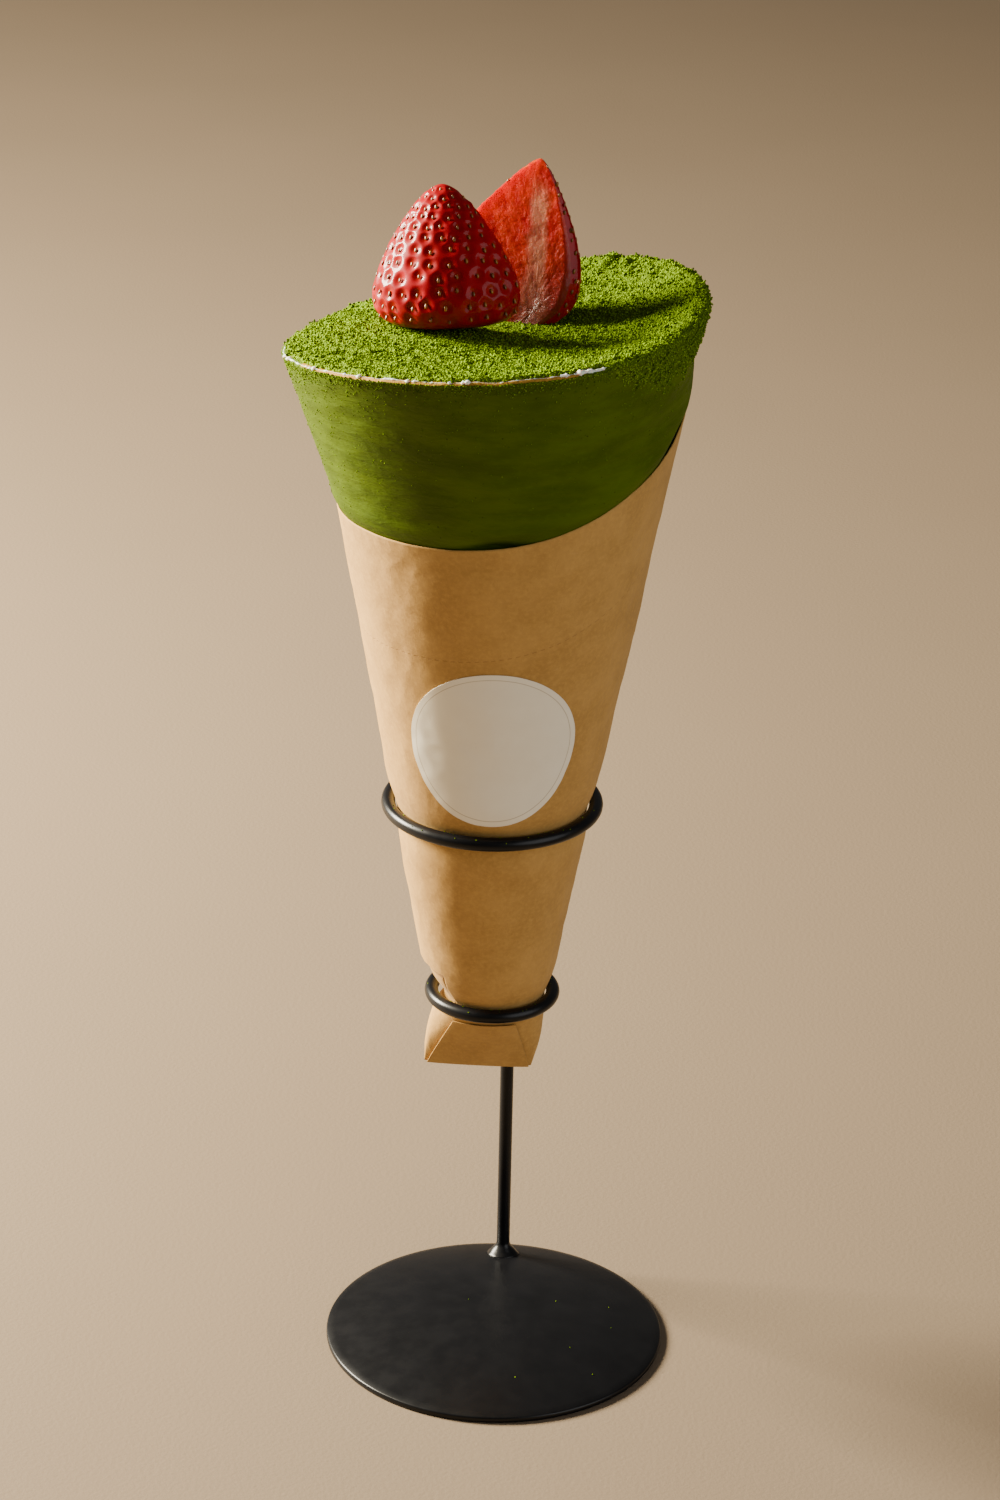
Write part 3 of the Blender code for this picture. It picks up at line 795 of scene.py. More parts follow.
def make_welds(material):
    """Weld beads between the rings and the post."""
    low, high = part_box("stand_post")
    post = np.array([(low.x + high.x) / 2, (low.y + high.y) / 2])
    places = []
    frames = []
    for centre, _ in (RING_UPPER, RING_LOWER):
        away = unit(post - np.array([centre.x, centre.y]))
        spot = post - away * WIRE_RADIUS
        places.append((spot[0], spot[1], centre.z))
        frames.append([(away[0], away[1], 0), (-away[1], away[0], 0), (0, 0, 1)])
    sizes = np.array([BEAD_SIZE] * len(places))
    welds = scattered("holder_welds", np.array(places), np.array(frames), sizes, material, 14, 20, 0.05)
    place(welds, "stand_metal")


# Paper sleeve

def pinch(turn, z):
    """Depth of the pocket beside the paper's free edge, above and inside the lower ring, and the shade
    painted along the pocket's edge.
    """
    below_top = PINCH_TOP - PINCH_SLOPE * apart(turn, PINCH_SLOPE_FROM) - z
    beside = -apart(turn, PINCH_TO) * math.radians(PINCH_RADIUS)
    inside = np.minimum(below_top, beside)
    far = after(turn, PINCH_FROM, 20.0) * smooth((z - PINCH_BOTTOM) / (5.0 * MM))
    slot = hill(inside, PINCH_SLOT_AT, PINCH_SLOT_WIDTH) * smooth(inside / (0.8 * MM))
    slot = slot * after(turn, PINCH_SLOT_FROM, 10.0) * far
    # Painted shade along the pocket's edge, which the paper's colour takes up.
    shade = hill(inside, PINCH_SHADE_AT, PINCH_SHADE_WIDTH) * smooth(inside / (0.3 * MM) + 0.5)
    shade = shade * after(turn, PINCH_SHADE_FROM, 10.0) * far
    return PINCH_DEPTH * smooth(inside / PINCH_EASE) * far + PINCH_SLOT * slot, shade


def sleeve_relief(turn, z):
    """Soft dents and small creases of the paper, zero where the rings hold it, and the pinch."""
    spots = round_point(0.0, 0.0, sleeve_section(z)[2], turn, z)
    calm = np.ones_like(z)
    for centre, _ in (RING_UPPER, RING_LOWER):
        calm = calm * (1 - hill(z, centre.z, NIP_LENGTH))
    soft = relief(spots, PAPER_DENTS, 2) - np.abs(relief(spots, PAPER_CREASES, 2, 5.0))
    return soft * calm - pinch(turn, z)[0]


def sleeve_grid(heights, inset):
    turn = np.broadcast_to(turns(heights.shape[1]), heights.shape)
    x, y, wide, deep = sleeve_section(heights)
    out = sleeve_relief(turn, heights) - inset
    deep_out = np.maximum(out, TAIL_LEAST_DEPTH - deep)
    return np.stack([x + (wide + out) * np.cos(turn), y + (deep + deep_out) * np.sin(turn), heights], axis=-1)


def sleeve_heights(levels, shares, columns):
    """Level rows below, then rows that follow the slanted edge."""
    turn = turns(columns)
    rows = [np.full(columns, z) for z in levels]
    rows += [LEVEL_ROWS_TOP + (sleeve_edge(turn) - LEVEL_ROWS_TOP) * share for share in shares]
    return np.array(rows)


def flap_sheet():
    """Grid of the folded tail end, bent round the front of the tail."""
    rows = []
    for share in np.linspace(0, 1, 24):
        z = FOLD_HEIGHT - FLAP_TUCK + (FLAP_TOP - FOLD_HEIGHT + FLAP_TUCK) * share
        left = FLAP_BOTTOM_X[0] + (FLAP_TOP_X[0] - FLAP_BOTTOM_X[0]) * share
        right = FLAP_BOTTOM_X[1] + (FLAP_TOP_X[1] - FLAP_BOTTOM_X[1]) * share
        x0, y0, wide, deep = sleeve_section(np.array(max(z, FOLD_HEIGHT)))
        x = np.linspace(left, right, 40)
        bow = np.sqrt(np.maximum(0.0, 1 - ((x - x0) / wide) ** 2))
        lift = PAPER + (FLAP_LIFT - PAPER) * share**1.5
        rows.append(np.stack([x, y0 - deep * bow - lift, np.full(40, z)], axis=-1))
    return np.array(rows)


def sheet_body(outer, inner):
    """Verts and faces of a thin closed body between two grids of the same size."""
    rows, columns, _ = outer.shape
    size = rows * columns
    front = grid_faces(rows, columns, closed=False)
    back = front[:, ::-1] + size
    index = np.arange(size).reshape(rows, columns)
    rim = list(index[0]) + list(index[1:, -1]) + list(index[-1, -2::-1]) + list(index[-2:0:-1, 0])
    sides = [(b, a, a + size, b + size) for a, b in zip(rim, rim[1:] + rim[:1])]
    faces = front.tolist() + back.tolist() + sides
    return np.concatenate([outer.reshape(-1, 3), inner.reshape(-1, 3)]), faces


def make_sleeve(material):
    columns = 340
    low, high = PINCH_ROWS
    levels = [*np.linspace(FOLD_HEIGHT, low - 0.5 * MM, 32), *np.linspace(low, high, 44)]
    levels += [*np.linspace(high + 1.2 * MM, LEVEL_ROWS_TOP, 100)]
    outer = sleeve_heights(levels, np.linspace(0.02, 1, 36), columns)
    inner = sleeve_heights([z for z in levels[::4] if z > TAIL_FLOOR], np.linspace(0.1, 1, 8), columns)[::-1]
    turn = turns(columns)
    middle = sleeve_edge(turn)[None, :]
    lip = sleeve_grid(middle, 0.5 * PAPER) + 0.12 * MM * UP
    grid = np.concatenate([sleeve_grid(outer, 0.0), lip, sleeve_grid(inner, PAPER)])
    heights = np.concatenate([outer, middle, inner])
    below = (sleeve_edge(turn)[None, :] - heights) / MM
    dashes = np.broadcast_to(turn * 110.0, heights.shape)
    # The third value is the shade painted into the pinch's pocket.
    values = {"below_edge": below, "round_way": dashes, "pocket_painted_shade": pinch(turn[None, :], heights)[1]}
    sleeve = tube("sleeve_paper", grid, material, values)
    place(sleeve, "sleeve_paper", "paper_sleeve")
    sheet = flap_sheet()
    verts, faces = sheet_body(sheet, sheet + (0, FLAP_PAPER, 0))
    far = np.full(len(verts), 100.0)
    values = {"below_edge": far, "round_way": far, "pocket_painted_shade": 0.0 * far}
    flap = new_piece("sleeve_flap", verts, outward(verts, faces), [material], values)
    flap.data.set_sharp_from_angle(angle=math.radians(40))
    place(flap, "sleeve_paper")


def label_grid(shares, offset, count):
    direction = turns(count)
    rows = []
    drop = LABEL_DROP * np.maximum(0.0, -np.sin(direction)) ** 3
    for share in shares:
        reach = (LABEL_RADIUS + drop) * share
        z = LABEL_HEIGHT + reach * np.sin(direction)
        x, y, radius, _ = sleeve_section(z)
        turn = math.radians(LABEL_AT) + reach * np.cos(direction) / radius
        rows.append(round_point(x, y, radius + offset + sleeve_relief(turn, z), turn, z))
    return np.array(rows)


def make_label(material):
    count = 128
    shares = np.linspace(0.03, 1.0, 26)
    top = label_grid(shares, LABEL_GAP + LABEL_THICKNESS, count)
    side = label_grid([1.002], LABEL_GAP + 0.5 * LABEL_THICKNESS, count)
    under = label_grid(shares[::-1], LABEL_GAP, count)
    spread = np.concatenate([shares, [1.0], np.zeros(len(shares))])
    values = {"spread": np.repeat(spread, count)}
    label = tube("sleeve_sticker", np.concatenate([top, side, under]), material, values)
    label.data.set_sharp_from_angle(angle=math.radians(30))
    place(label, "label_paper", "sleeve_label")


# Crepe, cream and powder

def bareness(turn):
    """1 where the rim shows its cut edge and 0 where powder runs over it."""
    return within(turn, BARE_FROM, BARE_TO, BARE_FADE)


def rim_circle(turn):
    """Points on a circle about as wide as the rim, for noise that runs round it."""
    return RIM_NOISE_RADIUS * level_way(turn)


def rim_ragged(turn):
    return relief(rim_circle(turn), RIM_RAGGED, 3)


def wall_inset(turn, z):
    """Wrinkles and dents of the crepe, all inward from the model's face."""
    edge = sleeve_edge(turn)
    spots = round_point(0.0, 0.0, cone_section(z)[2], turn, z)
    folds = np.abs(relief(spots, CREPE_WRINKLES, 2, 3.0, stretch=(4.0, 4.0, 1.0)))
    over = smooth((z - edge - 2.0 * MM) / (7.0 * MM))
    dents = 0.0
    for at, width, depth in EDGE_DENTS:
        dents = dents + depth * hill(apart(turn, at), 0.0, width) * hill(z, edge, EDGE_DENT_HEIGHT)
    cover = COVER_INSET * powder_growth(turn, 25.0) * smooth((z - edge - 6.0 * MM) / (12.0 * MM))
    return (lowered(spots, CREPE_DENTS, 2) + folds) * over + dents + cover


def crepe_face(turn, z):
    over_edge = hill(z, sleeve_edge(turn) + 1.5 * MM, 3.0 * MM)
    return crepe_offset(turn, z) + EDGE_ROLL * over_edge - wall_inset(turn, z)


def crepe_path(turn, way):
    """Radial offset, height and normal on the crepe, way metres outward from the rim's inner edge."""
    top = rim_height(turn) + rim_ragged(turn)
    outer = crepe_face(turn, rim_height(turn))
    flat = CREPE_WALL - CORNER_RADIUS
    lean = np.clip((way - flat) / CORNER_RADIUS, 0.0, math.pi / 2)
    down = np.maximum(0.0, way - flat - CORNER_RADIUS * math.pi / 2)
    z = top - CORNER_RADIUS * (1 - np.cos(lean)) - down
    start = outer - CREPE_WALL
    on_top = start + np.minimum(way, flat) + CORNER_RADIUS * np.sin(lean)
    on_wall = crepe_face(turn, np.minimum(z, rim_height(turn)))
    offset = np.where(down > 0, on_wall, on_top)
    return offset, z, np.sin(lean), np.cos(lean)


def make_crepe(material):
    columns = 360
    turn = turns(columns)
    edge = sleeve_edge(turn)
    rim = rim_height(turn)
    rows = []
    for share in np.linspace(0, 1, 10):
        z = CREPE_TIP_HEIGHT + (edge - HIDDEN_ROWS_END - CREPE_TIP_HEIGHT) * share
        rows.append(cone_point(z, turn, crepe_offset(turn, z) - 3.0 * MM * (1 - share) ** 3))
    start = edge - FREE_ROWS_START
    for share in np.linspace(0, 1, 60)[:-1]:
        z = start + (rim - CORNER_RADIUS - RIM_BAND - start) * share
        rows.append(cone_point(z, turn, crepe_face(turn, z)))
    rim_rows = len(rows)
    faces_up = []
    for way in np.linspace(CREPE_WALL + RIM_BAND, 0.0, 18):
        offset, z, _, up = crepe_path(turn, np.full(columns, way))
        rows.append(cone_point(z, turn, offset))
        faces_up.append(up)
    inside = [rim - depth * MM for depth in (1.0, 6.0, 40.0, 100.0)] + [np.full(columns, CREPE_FLOOR)]
    rows += [cone_point(z, turn, crepe_offset(turn, z) - CREPE_WALL - INSIDE_GAP) for z in inside]
    grid = np.array(rows)
    heights = grid[..., 2]
    browned = np.zeros(heights.shape)
    bare_edge = within(turn, BROWNED_FROM, BROWNED_TO, 10.0)
    browned[rim_rows:rim_rows + len(faces_up)] = bare_edge * smooth(np.array(faces_up) * 1.6 - 0.2)
    round_way = np.broadcast_to(turn, heights.shape)
    left = within(round_way, -245.0, -128.0, 26.0)
    near_rim = smooth(1 - (rim - heights) / (9.0 * MM)) * bareness(round_way)
    reach = powder_run(turn) + 5 * MM
    under_run = powder_growth(round_way, 9.0) * smooth(1.5 - (rim - heights) / reach)
    dust = np.clip(0.15 * left + 0.45 * near_rim + 0.6 * under_run + 0.12, 0, 1)
    crepe = tube("crepe", grid, material, {"browned": browned, "dust": dust})
    place(crepe, "crepe", "crepe_wrap")


def powder_growth(turn, spread):
    """0 on the bare rim, rising towards the right within the spread in degrees, and quickly at the left."""
    right = np.maximum(0.0, apart(turn, BARE_TO))
    left = np.maximum(0.0, -apart(turn, BARE_FROM))
    return np.maximum(1 - np.exp(-right / spread), smooth(left / 12.0))


def powder_run(turn):
    """How far the powder reaches from the rim's inner edge, over it and down the wall."""
    ring = rim_circle(turn)
    on_rim = (1.75 + 0.80 * field(ring, 2.4 * MM, 3, 9.0)) * MM
    uneven = 1 + 0.25 * field(ring, 7 * MM, 3, 2.0) + 0.12 * field(ring, 2 * MM, 2, 6.0)
    right = np.maximum(0.0, wave(turn, POWDER_RUN_RIGHT))
    return on_rim + powder_growth(turn, 9.0) * (CREPE_WALL - 1.85 * MM + POWDER_RUN + right) * uneven


def clumps(turn):
    """Lumps of powder that stand up on the rim at the back and the right."""
    ring = rim_circle(turn)
    height = np.maximum(0.0, field(ring, 5 * MM, 2, 3.0) + 0.25 * field(ring, 1.6 * MM, 2))
    return CLUMP_HEIGHT * height * within(turn, CLUMPS_FROM, CLUMPS_TO, 20.0)


def powder_height(turn, share):
    """Point of the powdered top without its grain; share runs from the middle to the inner edge."""
    centre_x, centre_y, _ = cone_section(RIM_HEIGHT)
    offset, z, _, _ = crepe_path(turn, np.zeros_like(turn))
    edge = cone_point(z, turn, offset)
    x = centre_x + (edge[..., 0] - centre_x) * share
    y = centre_y + (edge[..., 1] - centre_y) * share
    lift = (z + POWDER_STEP - POWDER_LEVEL) * share**POWDER_CURVE
    return np.stack([x, y, POWDER_LEVEL + lift], axis=-1)


def pressed(points):
    """0 under the strawberries and 1 away from them."""
    share = np.ones(points.shape[:-1])
    for berry in (BERRY_FRONT, BERRY_BACK):
        base = np.array(berry["base"]) * MM
        away = np.hypot(points[..., 0] - base[0], points[..., 1] - base[1])
        share = np.minimum(share, smooth((away - 0.72 * berry["half_width"]) / (5.0 * MM)))
    return share


def make_powder(material):
    columns = 640
    turn = turns(columns)
    rows = []
    for share in np.sqrt(np.linspace(0.0004, 1.0, 96)):
        row = powder_height(turn, np.full(columns, share))
        grains = relief(row, POWDER_GRAIN, 3) + relief(row, POWDER_SWELL, 2, 4.0)
        row[:, 2] += grains * (0.15 + 0.85 * pressed(row)) + clumps(turn) * smooth((share - 0.80) / 0.18)
        rows.append(row)
    reach = powder_run(turn)
    bare = bareness(turn)
    for share in np.linspace(0.02, 1.0, 30):
        offset, z, out, up = crepe_path(turn, reach * share)
        thick = POWDER_STEP * (1 - share**2) - 0.35 * MM * share**3
        thick = thick * (bare + (1 - bare) * np.clip(1.15 - 0.35 * out, 0, 1))
        grains = relief(cone_point(z, turn, offset), POWDER_EDGE_GRAIN, 3) * (1 - 0.45 * share)
        thick = thick + grains + clumps(turn) * (1 - share) ** 3
        rows.append(cone_point(z + thick * up, turn, offset + thick * out))
    top_rows = len(rows)
    for share in (0.97, 0.7, 0.35, 0.05):
        row = powder_height(turn, np.full(columns, share))
        row[:, 2] -= POWDER_UNDERSIDE
        rows.append(row)
    heights = np.array(rows)[..., 2]
    # How much more painted crack shade the powder gets, at the back and the right.
    right_crack_shade = np.broadcast_to(within(turn, -50.0, 120.0, 50.0), heights.shape)
    powder = tube("powder", np.array(rows), material, {"tint": 0.0 * heights, "right_crack_shade": right_crack_shade})
    place(powder, "powder", "cream_and_powder")
    return np.array(rows[:top_rows])


def make_crumbs(grid, material, count=12000):
    """Loose crumbs half sunk in the powder's face."""
    along = np.gradient(grid, axis=0)
    around = np.roll(grid, -1, axis=1) - grid
    normals = np.cross(around, along)
    area = np.linalg.norm(normals, axis=2)
    share = (area / area.sum()).reshape(-1)
    picked = RANDOM.choice(len(share), count, p=share)
    normal = unit(normals.reshape(-1, 3)[picked])
    centre_x, centre_y, _ = cone_section(RIM_HEIGHT)
    spots = grid.reshape(-1, 3)[picked]
    outside = spots - np.array([centre_x, centre_y, POWDER_LEVEL - 40 * MM])
    normal *= np.sign(np.sum(normal * outside, axis=1, keepdims=True))
    size = RANDOM.uniform(0.16, 0.42, (count, 1)) * RANDOM.uniform(0.75, 1.25, (count, 3)) * MM
    jitter = RANDOM.uniform(-0.25, 0.25, (count, 3)) * MM
    spots = spots + jitter + normal * 0.12 * MM
    crumbs = scattered("powder_crumbs", spots, frames_on(normal), size, material, 3, 4, 0.25)
    place(crumbs, "powder")


def make_cream(material):
    columns = 160
    turn = turns(columns)
    rows = []
    rim = rim_height(turn)
    for share in np.linspace(0, 1, 8):
        z = CREPE_FLOOR + 0.5 * MM + (rim - 1 * MM - CREPE_FLOOR) * share
        inset = CREPE_WALL + 1.15 * MM + wall_inset(turn, np.minimum(z, rim)) * smooth(share * 6 - 5)
        rows.append(cone_point(z, turn, crepe_offset(turn, np.minimum(z, rim)) - inset))
    for share in np.linspace(0.985, 0.03, 22):
        row = powder_height(turn, np.full(columns, share))
        row[:, 2] -= CREAM_SINK
        rows.append(row)
    place(tube("cream", np.array(rows), material), "cream")


def make_cream_edge(material):
    """Beads of cream that show between the crepe's cut edge and the powder."""
    degrees = np.linspace(BARE_FROM - 2, BARE_TO + 3, 420)
    turn = np.radians(degrees)
    left = within(turn, -176.0, -140.0, 14.0)
    lump = hill(apart(turn, -66.0), 0.0, 3.0)
    offset, z, _, _ = crepe_path(turn, (2.0 + 0.6 * left - 0.3 * lump) * MM)
    centre = cone_point(z + 0.02 * MM, turn, offset)
    uneven = field(centre, 2.0 * MM, 3, 1.0)
    size = (-0.12 + 0.20 * left + 0.70 * lump + 1.0 * uneven) * MM
    ends = smooth((degrees - degrees[0]) / 3) * smooth((degrees[-1] - degrees) / 3)
    size = np.clip(size, 0.03 * MM, 1.6 * MM) * ends + 0.02 * MM
    round_bead = turns(12)[:, None]
    rows = []
    for t, middle, half in zip(turn, centre, size):
        ring = 1.25 * np.cos(round_bead) * level_way(t) + 0.85 * np.sin(round_bead) * UP
        rows.append(middle + half * ring)
    grid = np.array(rows)
    bumps = field(grid, 1.1 * MM, 2, 6.0)
    grid = centre[:, None, :] + (grid - centre[:, None, :]) * (1 + 0.35 * bumps[..., None])
    place(tube("cream_edge", grid, material), "cream")


def make_dust(material, count=1500, fringe=1700):
    """Single grains on the crepe's wall, and a denser fringe of them just under the bare rim."""
    near_left = RANDOM.uniform(0, 1, count) < 0.55
    degrees = np.where(near_left, RANDOM.normal(-185.0, 30.0, count), RANDOM.uniform(-150.0, 40.0, count))
    drop = np.where(near_left, RANDOM.uniform(0, 1, count), RANDOM.beta(0.8, 3.2, count))
    size = RANDOM.uniform(0.07, 0.19, count) * MM
    turn = np.radians(np.concatenate([degrees, RANDOM.uniform(-182.0, -58.0, fringe)]))
    rim = rim_height(turn)
    edge = sleeve_edge(turn)
    fall = RANDOM.exponential(1.3, fringe) * (1 + 1.4 * within(turn[count:], -215.0, -150.0, 20.0))
    below = np.concatenate([3 * MM + (rim - 5 * MM - edge)[:count] * drop, (0.5 + fall) * MM])
    size = np.concatenate([size, RANDOM.uniform(0.10, 0.27, fringe) * MM])
    z = rim - np.minimum(below, rim - edge - 1 * MM)
    spots = cone_point(z, turn, crepe_face(turn, z) + 0.05 * MM)
    sizes = size[:, None] * RANDOM.uniform(0.8, 1.2, (count + fringe, 3))
    frames = frames_on(level_way(turn) - 0.25 * UP)
    dust = scattered("powder_dust", spots, frames, sizes, material, 3, 4, 0.2)
    place(dust, "powder")


def make_specks(material, count=60):
    """Specks of powder that fell on the rings and the plate."""
    spots = []
    normals = []
    for k in range(count):
        if k % 8:
            centre, radius = RING_UPPER if k % 2 else RING_LOWER
            t = RANDOM.uniform(-math.pi, 0.6)
            a = RANDOM.uniform(0.5, 2.4)
            out = level_way(t)
            normal = out * math.cos(a) + UP * math.sin(a)
            spots.append(np.array(centre) + out * radius + normal * WIRE_RADIUS)
        else:
            t = RANDOM.uniform(-math.pi, math.pi)
            reach = 46 * MM * math.sqrt(RANDOM.uniform(0.02, 1))
            x, y = reach * math.cos(t), reach * math.sin(t)
            normal = UP
            spots.append(np.array([x, y, dome_height(x, y)]))
        normals.append(normal)
    size = RANDOM.uniform(0.08, 0.26, (count, 1)) * RANDOM.uniform(0.8, 1.3, (count, 3)) * MM
    frames = frames_on(np.array(normals))
    specks = scattered("powder_specks", np.array(spots), frames, size, material, 3, 5, 0.25)
    place(specks, "powder")


# Strawberries

def berry_axes(berry):
    """Base, axis, length, the way that the cut face looks, and the way across it."""
    base = np.array(berry["base"]) * MM
    axis = np.array(berry["apex"]) * MM - base
    length = np.linalg.norm(axis)
    axis = axis / length
    out = level_way(math.radians(berry["look"]))
    out = unit(out - axis * out.dot(axis))
    return base, axis, length, out, np.cross(axis, out)


def berry_radius(berry, u):
    swell, bluntness = berry["outline"]
    return berry["half_width"] * np.abs(np.sin(math.pi * np.clip(u, 0, 1) ** swell)) ** bluntness


def on_axis(berry, u):
    """Points of the axis from the apex, u = 0, to the base, u = 1."""
    base, axis, length, _, _ = berry_axes(berry)
    return base + axis * (length * (1 - u))[..., None]


def berry_skin(berry, u, turn):
    _, _, _, out, across = berry_axes(berry)
    side = across * np.cos(turn)[..., None] - out * berry["depth"] * np.sin(turn)[..., None]
    return on_axis(berry, u) + side * berry_radius(berry, u)[..., None]


def face_point(berry, u, side):
    """Points of the plain cut face, side from -1 to 1, and how far across they lie.

    Where the berry is bevelled, the far edge drops back to the skin.
    """
    _, _, _, out, across = berry_axes(berry)
    radius = berry_radius(berry, u)
    reach = radius * np.where(side > 0, side * math.cos(berry["bevel"]), side)
    drop = berry["depth"] * radius * math.sin(berry["bevel"]) * smooth((side - BEVEL_FROM) / (1 - BEVEL_FROM))
    return on_axis(berry, u) + across * reach[..., None] - out * drop[..., None], reach


def drawn_in(points, middle, sink):
    """Points moved towards the middle, but by no more than 0.6 of the way."""
    away = points - middle
    reach = np.linalg.norm(away, axis=-1, keepdims=True) + TINY
    return points - away / reach * np.minimum(sink[..., None], 0.6 * reach)


def seed_places(berry):
    """Staggered rows of seeds as place along the berry, turn, and size, smaller towards the tip."""
    length = berry_axes(berry)[2]
    places = []
    u = 0.035
    row = 0
    while u < 0.94:
        radius = float(berry_radius(berry, np.array(u)))
        scale = 0.5 + 0.5 * min(1.0, u / 0.55)
        spacing = SEED_SPACING * scale
        count = max(2, round(math.pi * radius / (1.08 * spacing)))
        for k in range(count):
            share = (k + (0.75 if row % 2 else 0.25)) / count
            turn = math.pi * share + RANDOM.uniform(-0.15, 0.15) * spacing / max(radius, 3 * MM)
            places.append((u + RANDOM.uniform(-0.12, 0.12) * spacing / length, turn, scale))
        u += 0.72 * spacing / length
        row += 1
    return np.array([p for p in places if 0.05 < p[1] < math.pi - 0.05])


def dimpled_skin(berry, u, turn, centres, scales):
    """The skin with a dimple at each seed and a ragged border, and how deep its dimples are."""
    verts = berry_skin(berry, u, turn)
    dimple = np.zeros(u.shape)
    for spot, scale in zip(centres, scales):
        share = np.linalg.norm(verts - spot, axis=2) / (DIMPLE_RADIUS * (0.35 + 0.65 * scale))
        dimple = np.maximum(dimple, np.exp(-(share**2.6)) * (0.4 + 0.6 * scale))
    inner = smooth(np.minimum(turn - berry["bevel"], math.pi - turn) / 0.10)
    lumps = lowered(verts, BERRY_LUMPS, 2) * smooth(u / 0.2)
    ragged = lowered(verts, BERRY_RAGGED, 2, 8.0) * smooth(u / 0.1)
    sink = (DIMPLE_DEPTH * dimple + lumps) * inner + ragged * (1 - inner)
    return drawn_in(verts, on_axis(berry, u), sink), dimple


def cut_face(berry, u, side):
    """The grainy cut face with its ragged border, and how far across its points lie."""
    face, across = face_point(berry, u, side)
    within_edge = (1 - side**8) * smooth(u / 0.08) * smooth((1 - u) / 0.08)
    grain = (relief(face, CUT_GRAIN, 3) - CUT_SINK) * within_edge
    ragged = lowered(face, BERRY_RAGGED, 2, 8.0) * smooth(u / 0.1) * side**12
    out = berry_axes(berry)[3]
    return drawn_in(face, on_axis(berry, u), ragged) + out * grain[..., None], across


def make_berry(name, node, berry, skin, flesh, seed_material):
    """A berry half: a dimpled skin and a cut face, whose far edge may be bevelled and keeps its skin."""
    u = np.linspace(0, 1, 190) ** 1.25
    skin_u, skin_turn = np.meshgrid(u, np.linspace(berry["bevel"], math.pi, 220), indexing="ij")
    face_u, face_side = np.meshgrid(u, np.linspace(-1, 1, 110), indexing="ij")
    seeds = seed_places(berry)
    centres = berry_skin(berry, seeds[:, 0], seeds[:, 1])
    verts, dimple = dimpled_skin(berry, skin_u, skin_turn, centres, seeds[:, 2])
    face, across = cut_face(berry, face_u, face_side)
    all_verts = np.concatenate([verts.reshape(-1, 3), face.reshape(-1, 3)])
    all_verts[:, 2] = np.maximum(all_verts[:, 2], POWDER_LEVEL - BERRY_SINK)
    skin_faces = grid_faces(*skin_u.shape, closed=False)
    face_faces = grid_faces(*face_u.shape, closed=False)[:, ::-1] + skin_u.size
    flesh_faces = face_side[:-1, :-1] < (FLESH_TO if berry["bevel"] else 2.0)
    marks = [0] * len(skin_faces) + flesh_faces.reshape(-1).astype(int).tolist()
    pairs = {
        "dimple": (dimple, 0 * face_u),
        "across": (0 * skin_u, across / MM),
        "climb": (0 * skin_u, 1 - face_u),
        "edge": (0 * skin_u + 1, np.abs(face_side)),
    }
    values = {key: np.concatenate([a.reshape(-1), b.reshape(-1)]) for key, (a, b) in pairs.items()}
    faces = skin_faces.tolist() + face_faces.tolist()
    piece = new_piece(name, all_verts, faces, [skin, flesh], values, marks)
    clean(piece)
    place(piece, "strawberry", node)
    make_seeds(name + "_seeds", berry, centres, seeds, seed_material)


def make_seeds(name, berry, centres, seeds, material):
    """Seeds in the dimples, and on a bevelled berry a line of them along the edge."""
    _, axis, _, out, across = berry_axes(berry)
    scale = seeds[:, 2]
    normal = unit(centres - on_axis(berry, seeds[:, 0])) + SEED_TILT * axis
    spots = centres - normal * (DIMPLE_DEPTH * 0.66 * (0.4 + 0.6 * scale))[:, None]
    if berry["bevel"]:
        edge_u = np.linspace(0.12, 0.86, EDGE_SEEDS) + RANDOM.uniform(-0.02, 0.02, EDGE_SEEDS)
        line, _ = face_point(berry, edge_u, RANDOM.uniform(0.87, 0.95, EDGE_SEEDS))
        spots = np.concatenate([spots, line])
        normal = np.concatenate([normal, np.tile(across * 0.6 + out * 0.8, (EDGE_SEEDS, 1))])
        scale = np.concatenate([scale, np.full(EDGE_SEEDS, 0.8)])
    normal = unit(normal)
    along = unit(axis - normal * (normal @ axis)[:, None])
    frames = np.stack([np.cross(along, normal), along, normal], axis=1)
    keep = spots[:, 2] > POWDER_LEVEL + 0.8 * MM
    size = SEED_SIZE * (0.45 + 0.55 * scale)[:, None] * RANDOM.uniform(0.85, 1.15, (len(scale), 1))
    made = scattered(name, spots[keep], frames[keep], size[keep], material, 6, 8, 0.03)
    place(made, "strawberry")


def clean(piece):
    """Joins the border points of a piece's sheets and marks the border as a sharp edge."""
    form = bmesh.new()
    form.from_mesh(piece.data)
    bmesh.ops.remove_doubles(form, verts=form.verts, dist=0.001 * MM)
    bmesh.ops.dissolve_degenerate(form, edges=form.edges, dist=0.001 * MM)
    bmesh.ops.recalc_face_normals(form, faces=form.faces)
    for edge in form.edges:
        marks = {face.material_index for face in edge.link_faces}
        edge.smooth = len(marks) < 2
    form.to_mesh(piece.data)
    form.free()


# Camera, light and floor

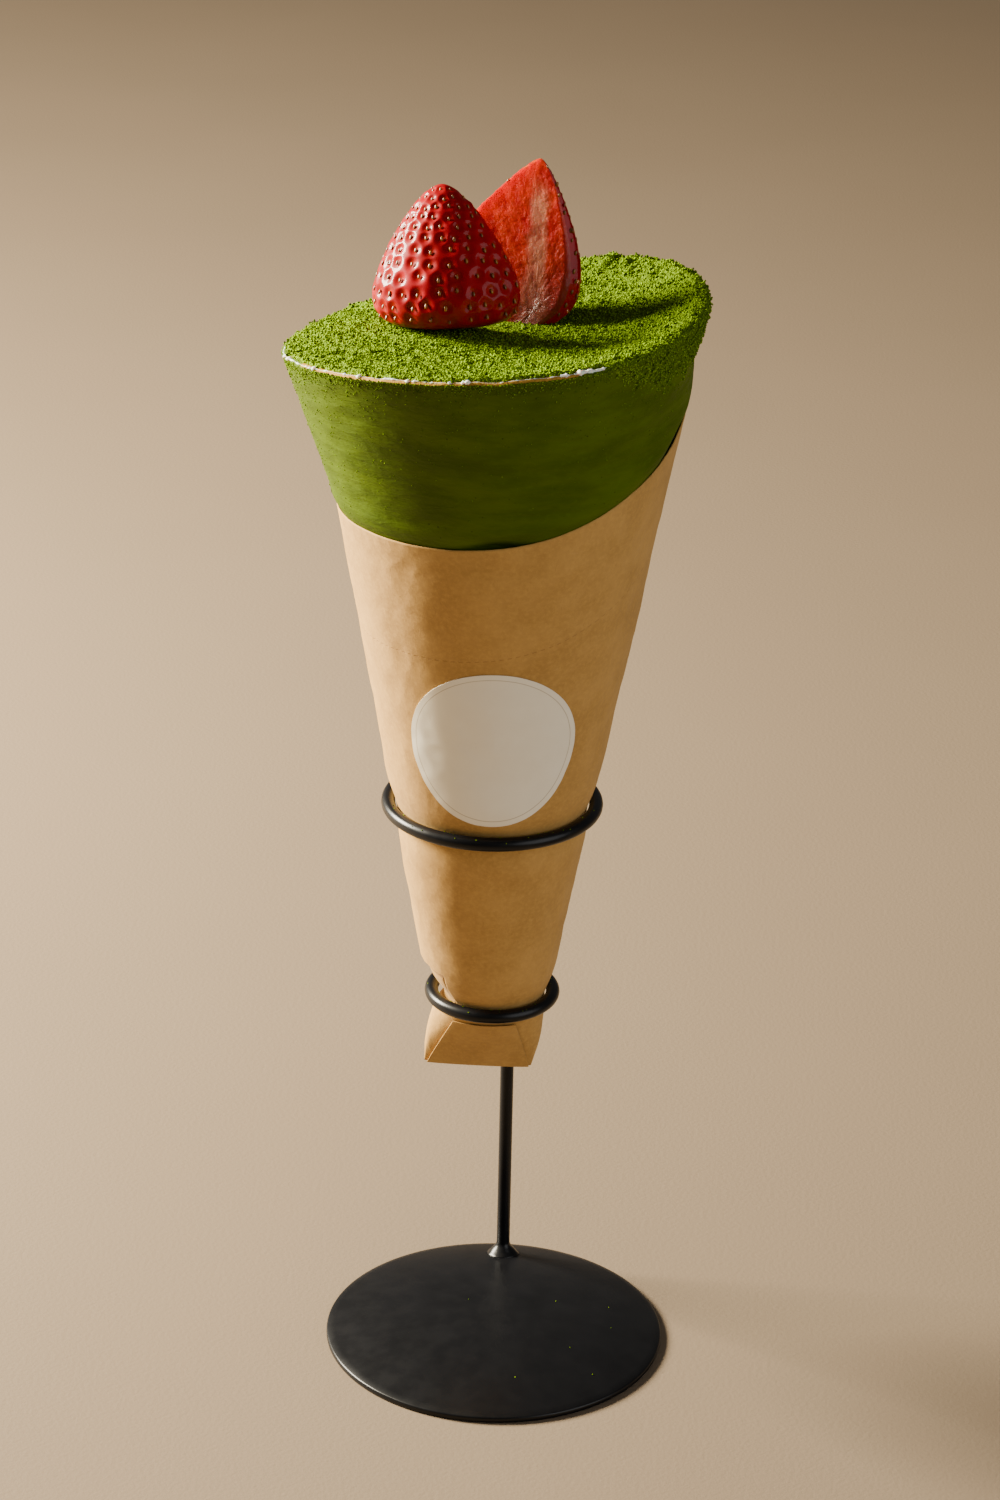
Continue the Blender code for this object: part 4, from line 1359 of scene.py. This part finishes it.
def make_camera():
    azimuth = math.radians(CAMERA_AZIMUTH)
    elevation = math.radians(CAMERA_ELEVATION)
    roll = math.radians(CAMERA_ROLL)
    back = Vector((math.sin(azimuth) * math.cos(elevation), -math.cos(azimuth) * math.cos(elevation),
                   math.sin(elevation)))
    level = Vector((math.cos(azimuth), math.sin(azimuth), 0.0))
    rise = back.cross(level)
    right = level * math.cos(roll) + rise * math.sin(roll)
    up = rise * math.cos(roll) - level * math.sin(roll)
    pixels = LENS / SENSOR * VIEW_HEIGHT
    aside = (FOOT_IN_VIEW[0] - VIEW_WIDTH / 2) / pixels * CAMERA_DISTANCE
    above = -(FOOT_IN_VIEW[1] - VIEW_HEIGHT / 2) / pixels * CAMERA_DISTANCE
    data = bpy.data.cameras.new("camera")
    data.lens = LENS
    data.sensor_width = SENSOR
    data.sensor_height = SENSOR
    data.sensor_fit = "AUTO"
    data.clip_start = 0.01
    camera = bpy.data.objects.new("camera", data)
    bpy.context.scene.collection.objects.link(camera)
    place_at = back * CAMERA_DISTANCE - right * aside - up * above
    matrix = camera.matrix_world.to_3x3()
    matrix.col[0], matrix.col[1], matrix.col[2] = right, up, back
    camera.matrix_world = matrix.to_4x4()
    camera.location = place_at
    bpy.context.scene.camera = camera


def make_light(name, place_at, radius, power, colour):
    data = bpy.data.lights.new(name, "POINT")
    data.shadow_soft_size = radius
    data.energy = power
    data.color = colour
    light = bpy.data.objects.new(name, data)
    light.location = place_at
    bpy.context.scene.collection.objects.link(light)


def make_studio():
    corners = [(FLOOR_HALF * x, FLOOR_HALF * y, 0.0) for x, y in ((-1, -1), (1, -1), (1, 1), (-1, 1))]
    floor = new_piece("floor", corners, [(0, 1, 2, 3)], [floor_paint()])
    for light in LIGHTS:
        make_light(*light)
    world = bpy.data.worlds.new("studio")
    world.use_nodes = True
    backdrop = world.node_tree.nodes["Background"]
    backdrop.inputs["Color"].default_value = WORLD_COLOUR
    backdrop.inputs["Strength"].default_value = WORLD_STRENGTH
    bpy.context.scene.world = world


def main():
    make_camera()
    steel = steel_paint()
    make_plate(steel)
    make_post(steel)
    make_ring("holder_ring_upper", "stand_ring_upper", RING_UPPER, steel)
    make_ring("holder_ring_lower", "stand_ring_lower", RING_LOWER, steel)
    make_welds(steel)
    make_sleeve(paper_paint())
    make_label(label_paint())
    make_crepe(crepe_paint())
    cream = cream_paint()
    make_cream(cream)
    make_cream_edge(cream)
    powder = powder_paint()
    grid = make_powder(powder)
    make_crumbs(grid, powder)
    make_dust(powder)
    make_specks(powder)
    skin = skin_paint()
    flesh = flesh_paint()
    seeds = seed_paint()
    make_berry("berry_front", "strawberry_half_front", BERRY_FRONT, skin, flesh, seeds)
    make_berry("berry_back", "strawberry_half_back", BERRY_BACK, skin, flesh, seeds)
    make_studio()


main()
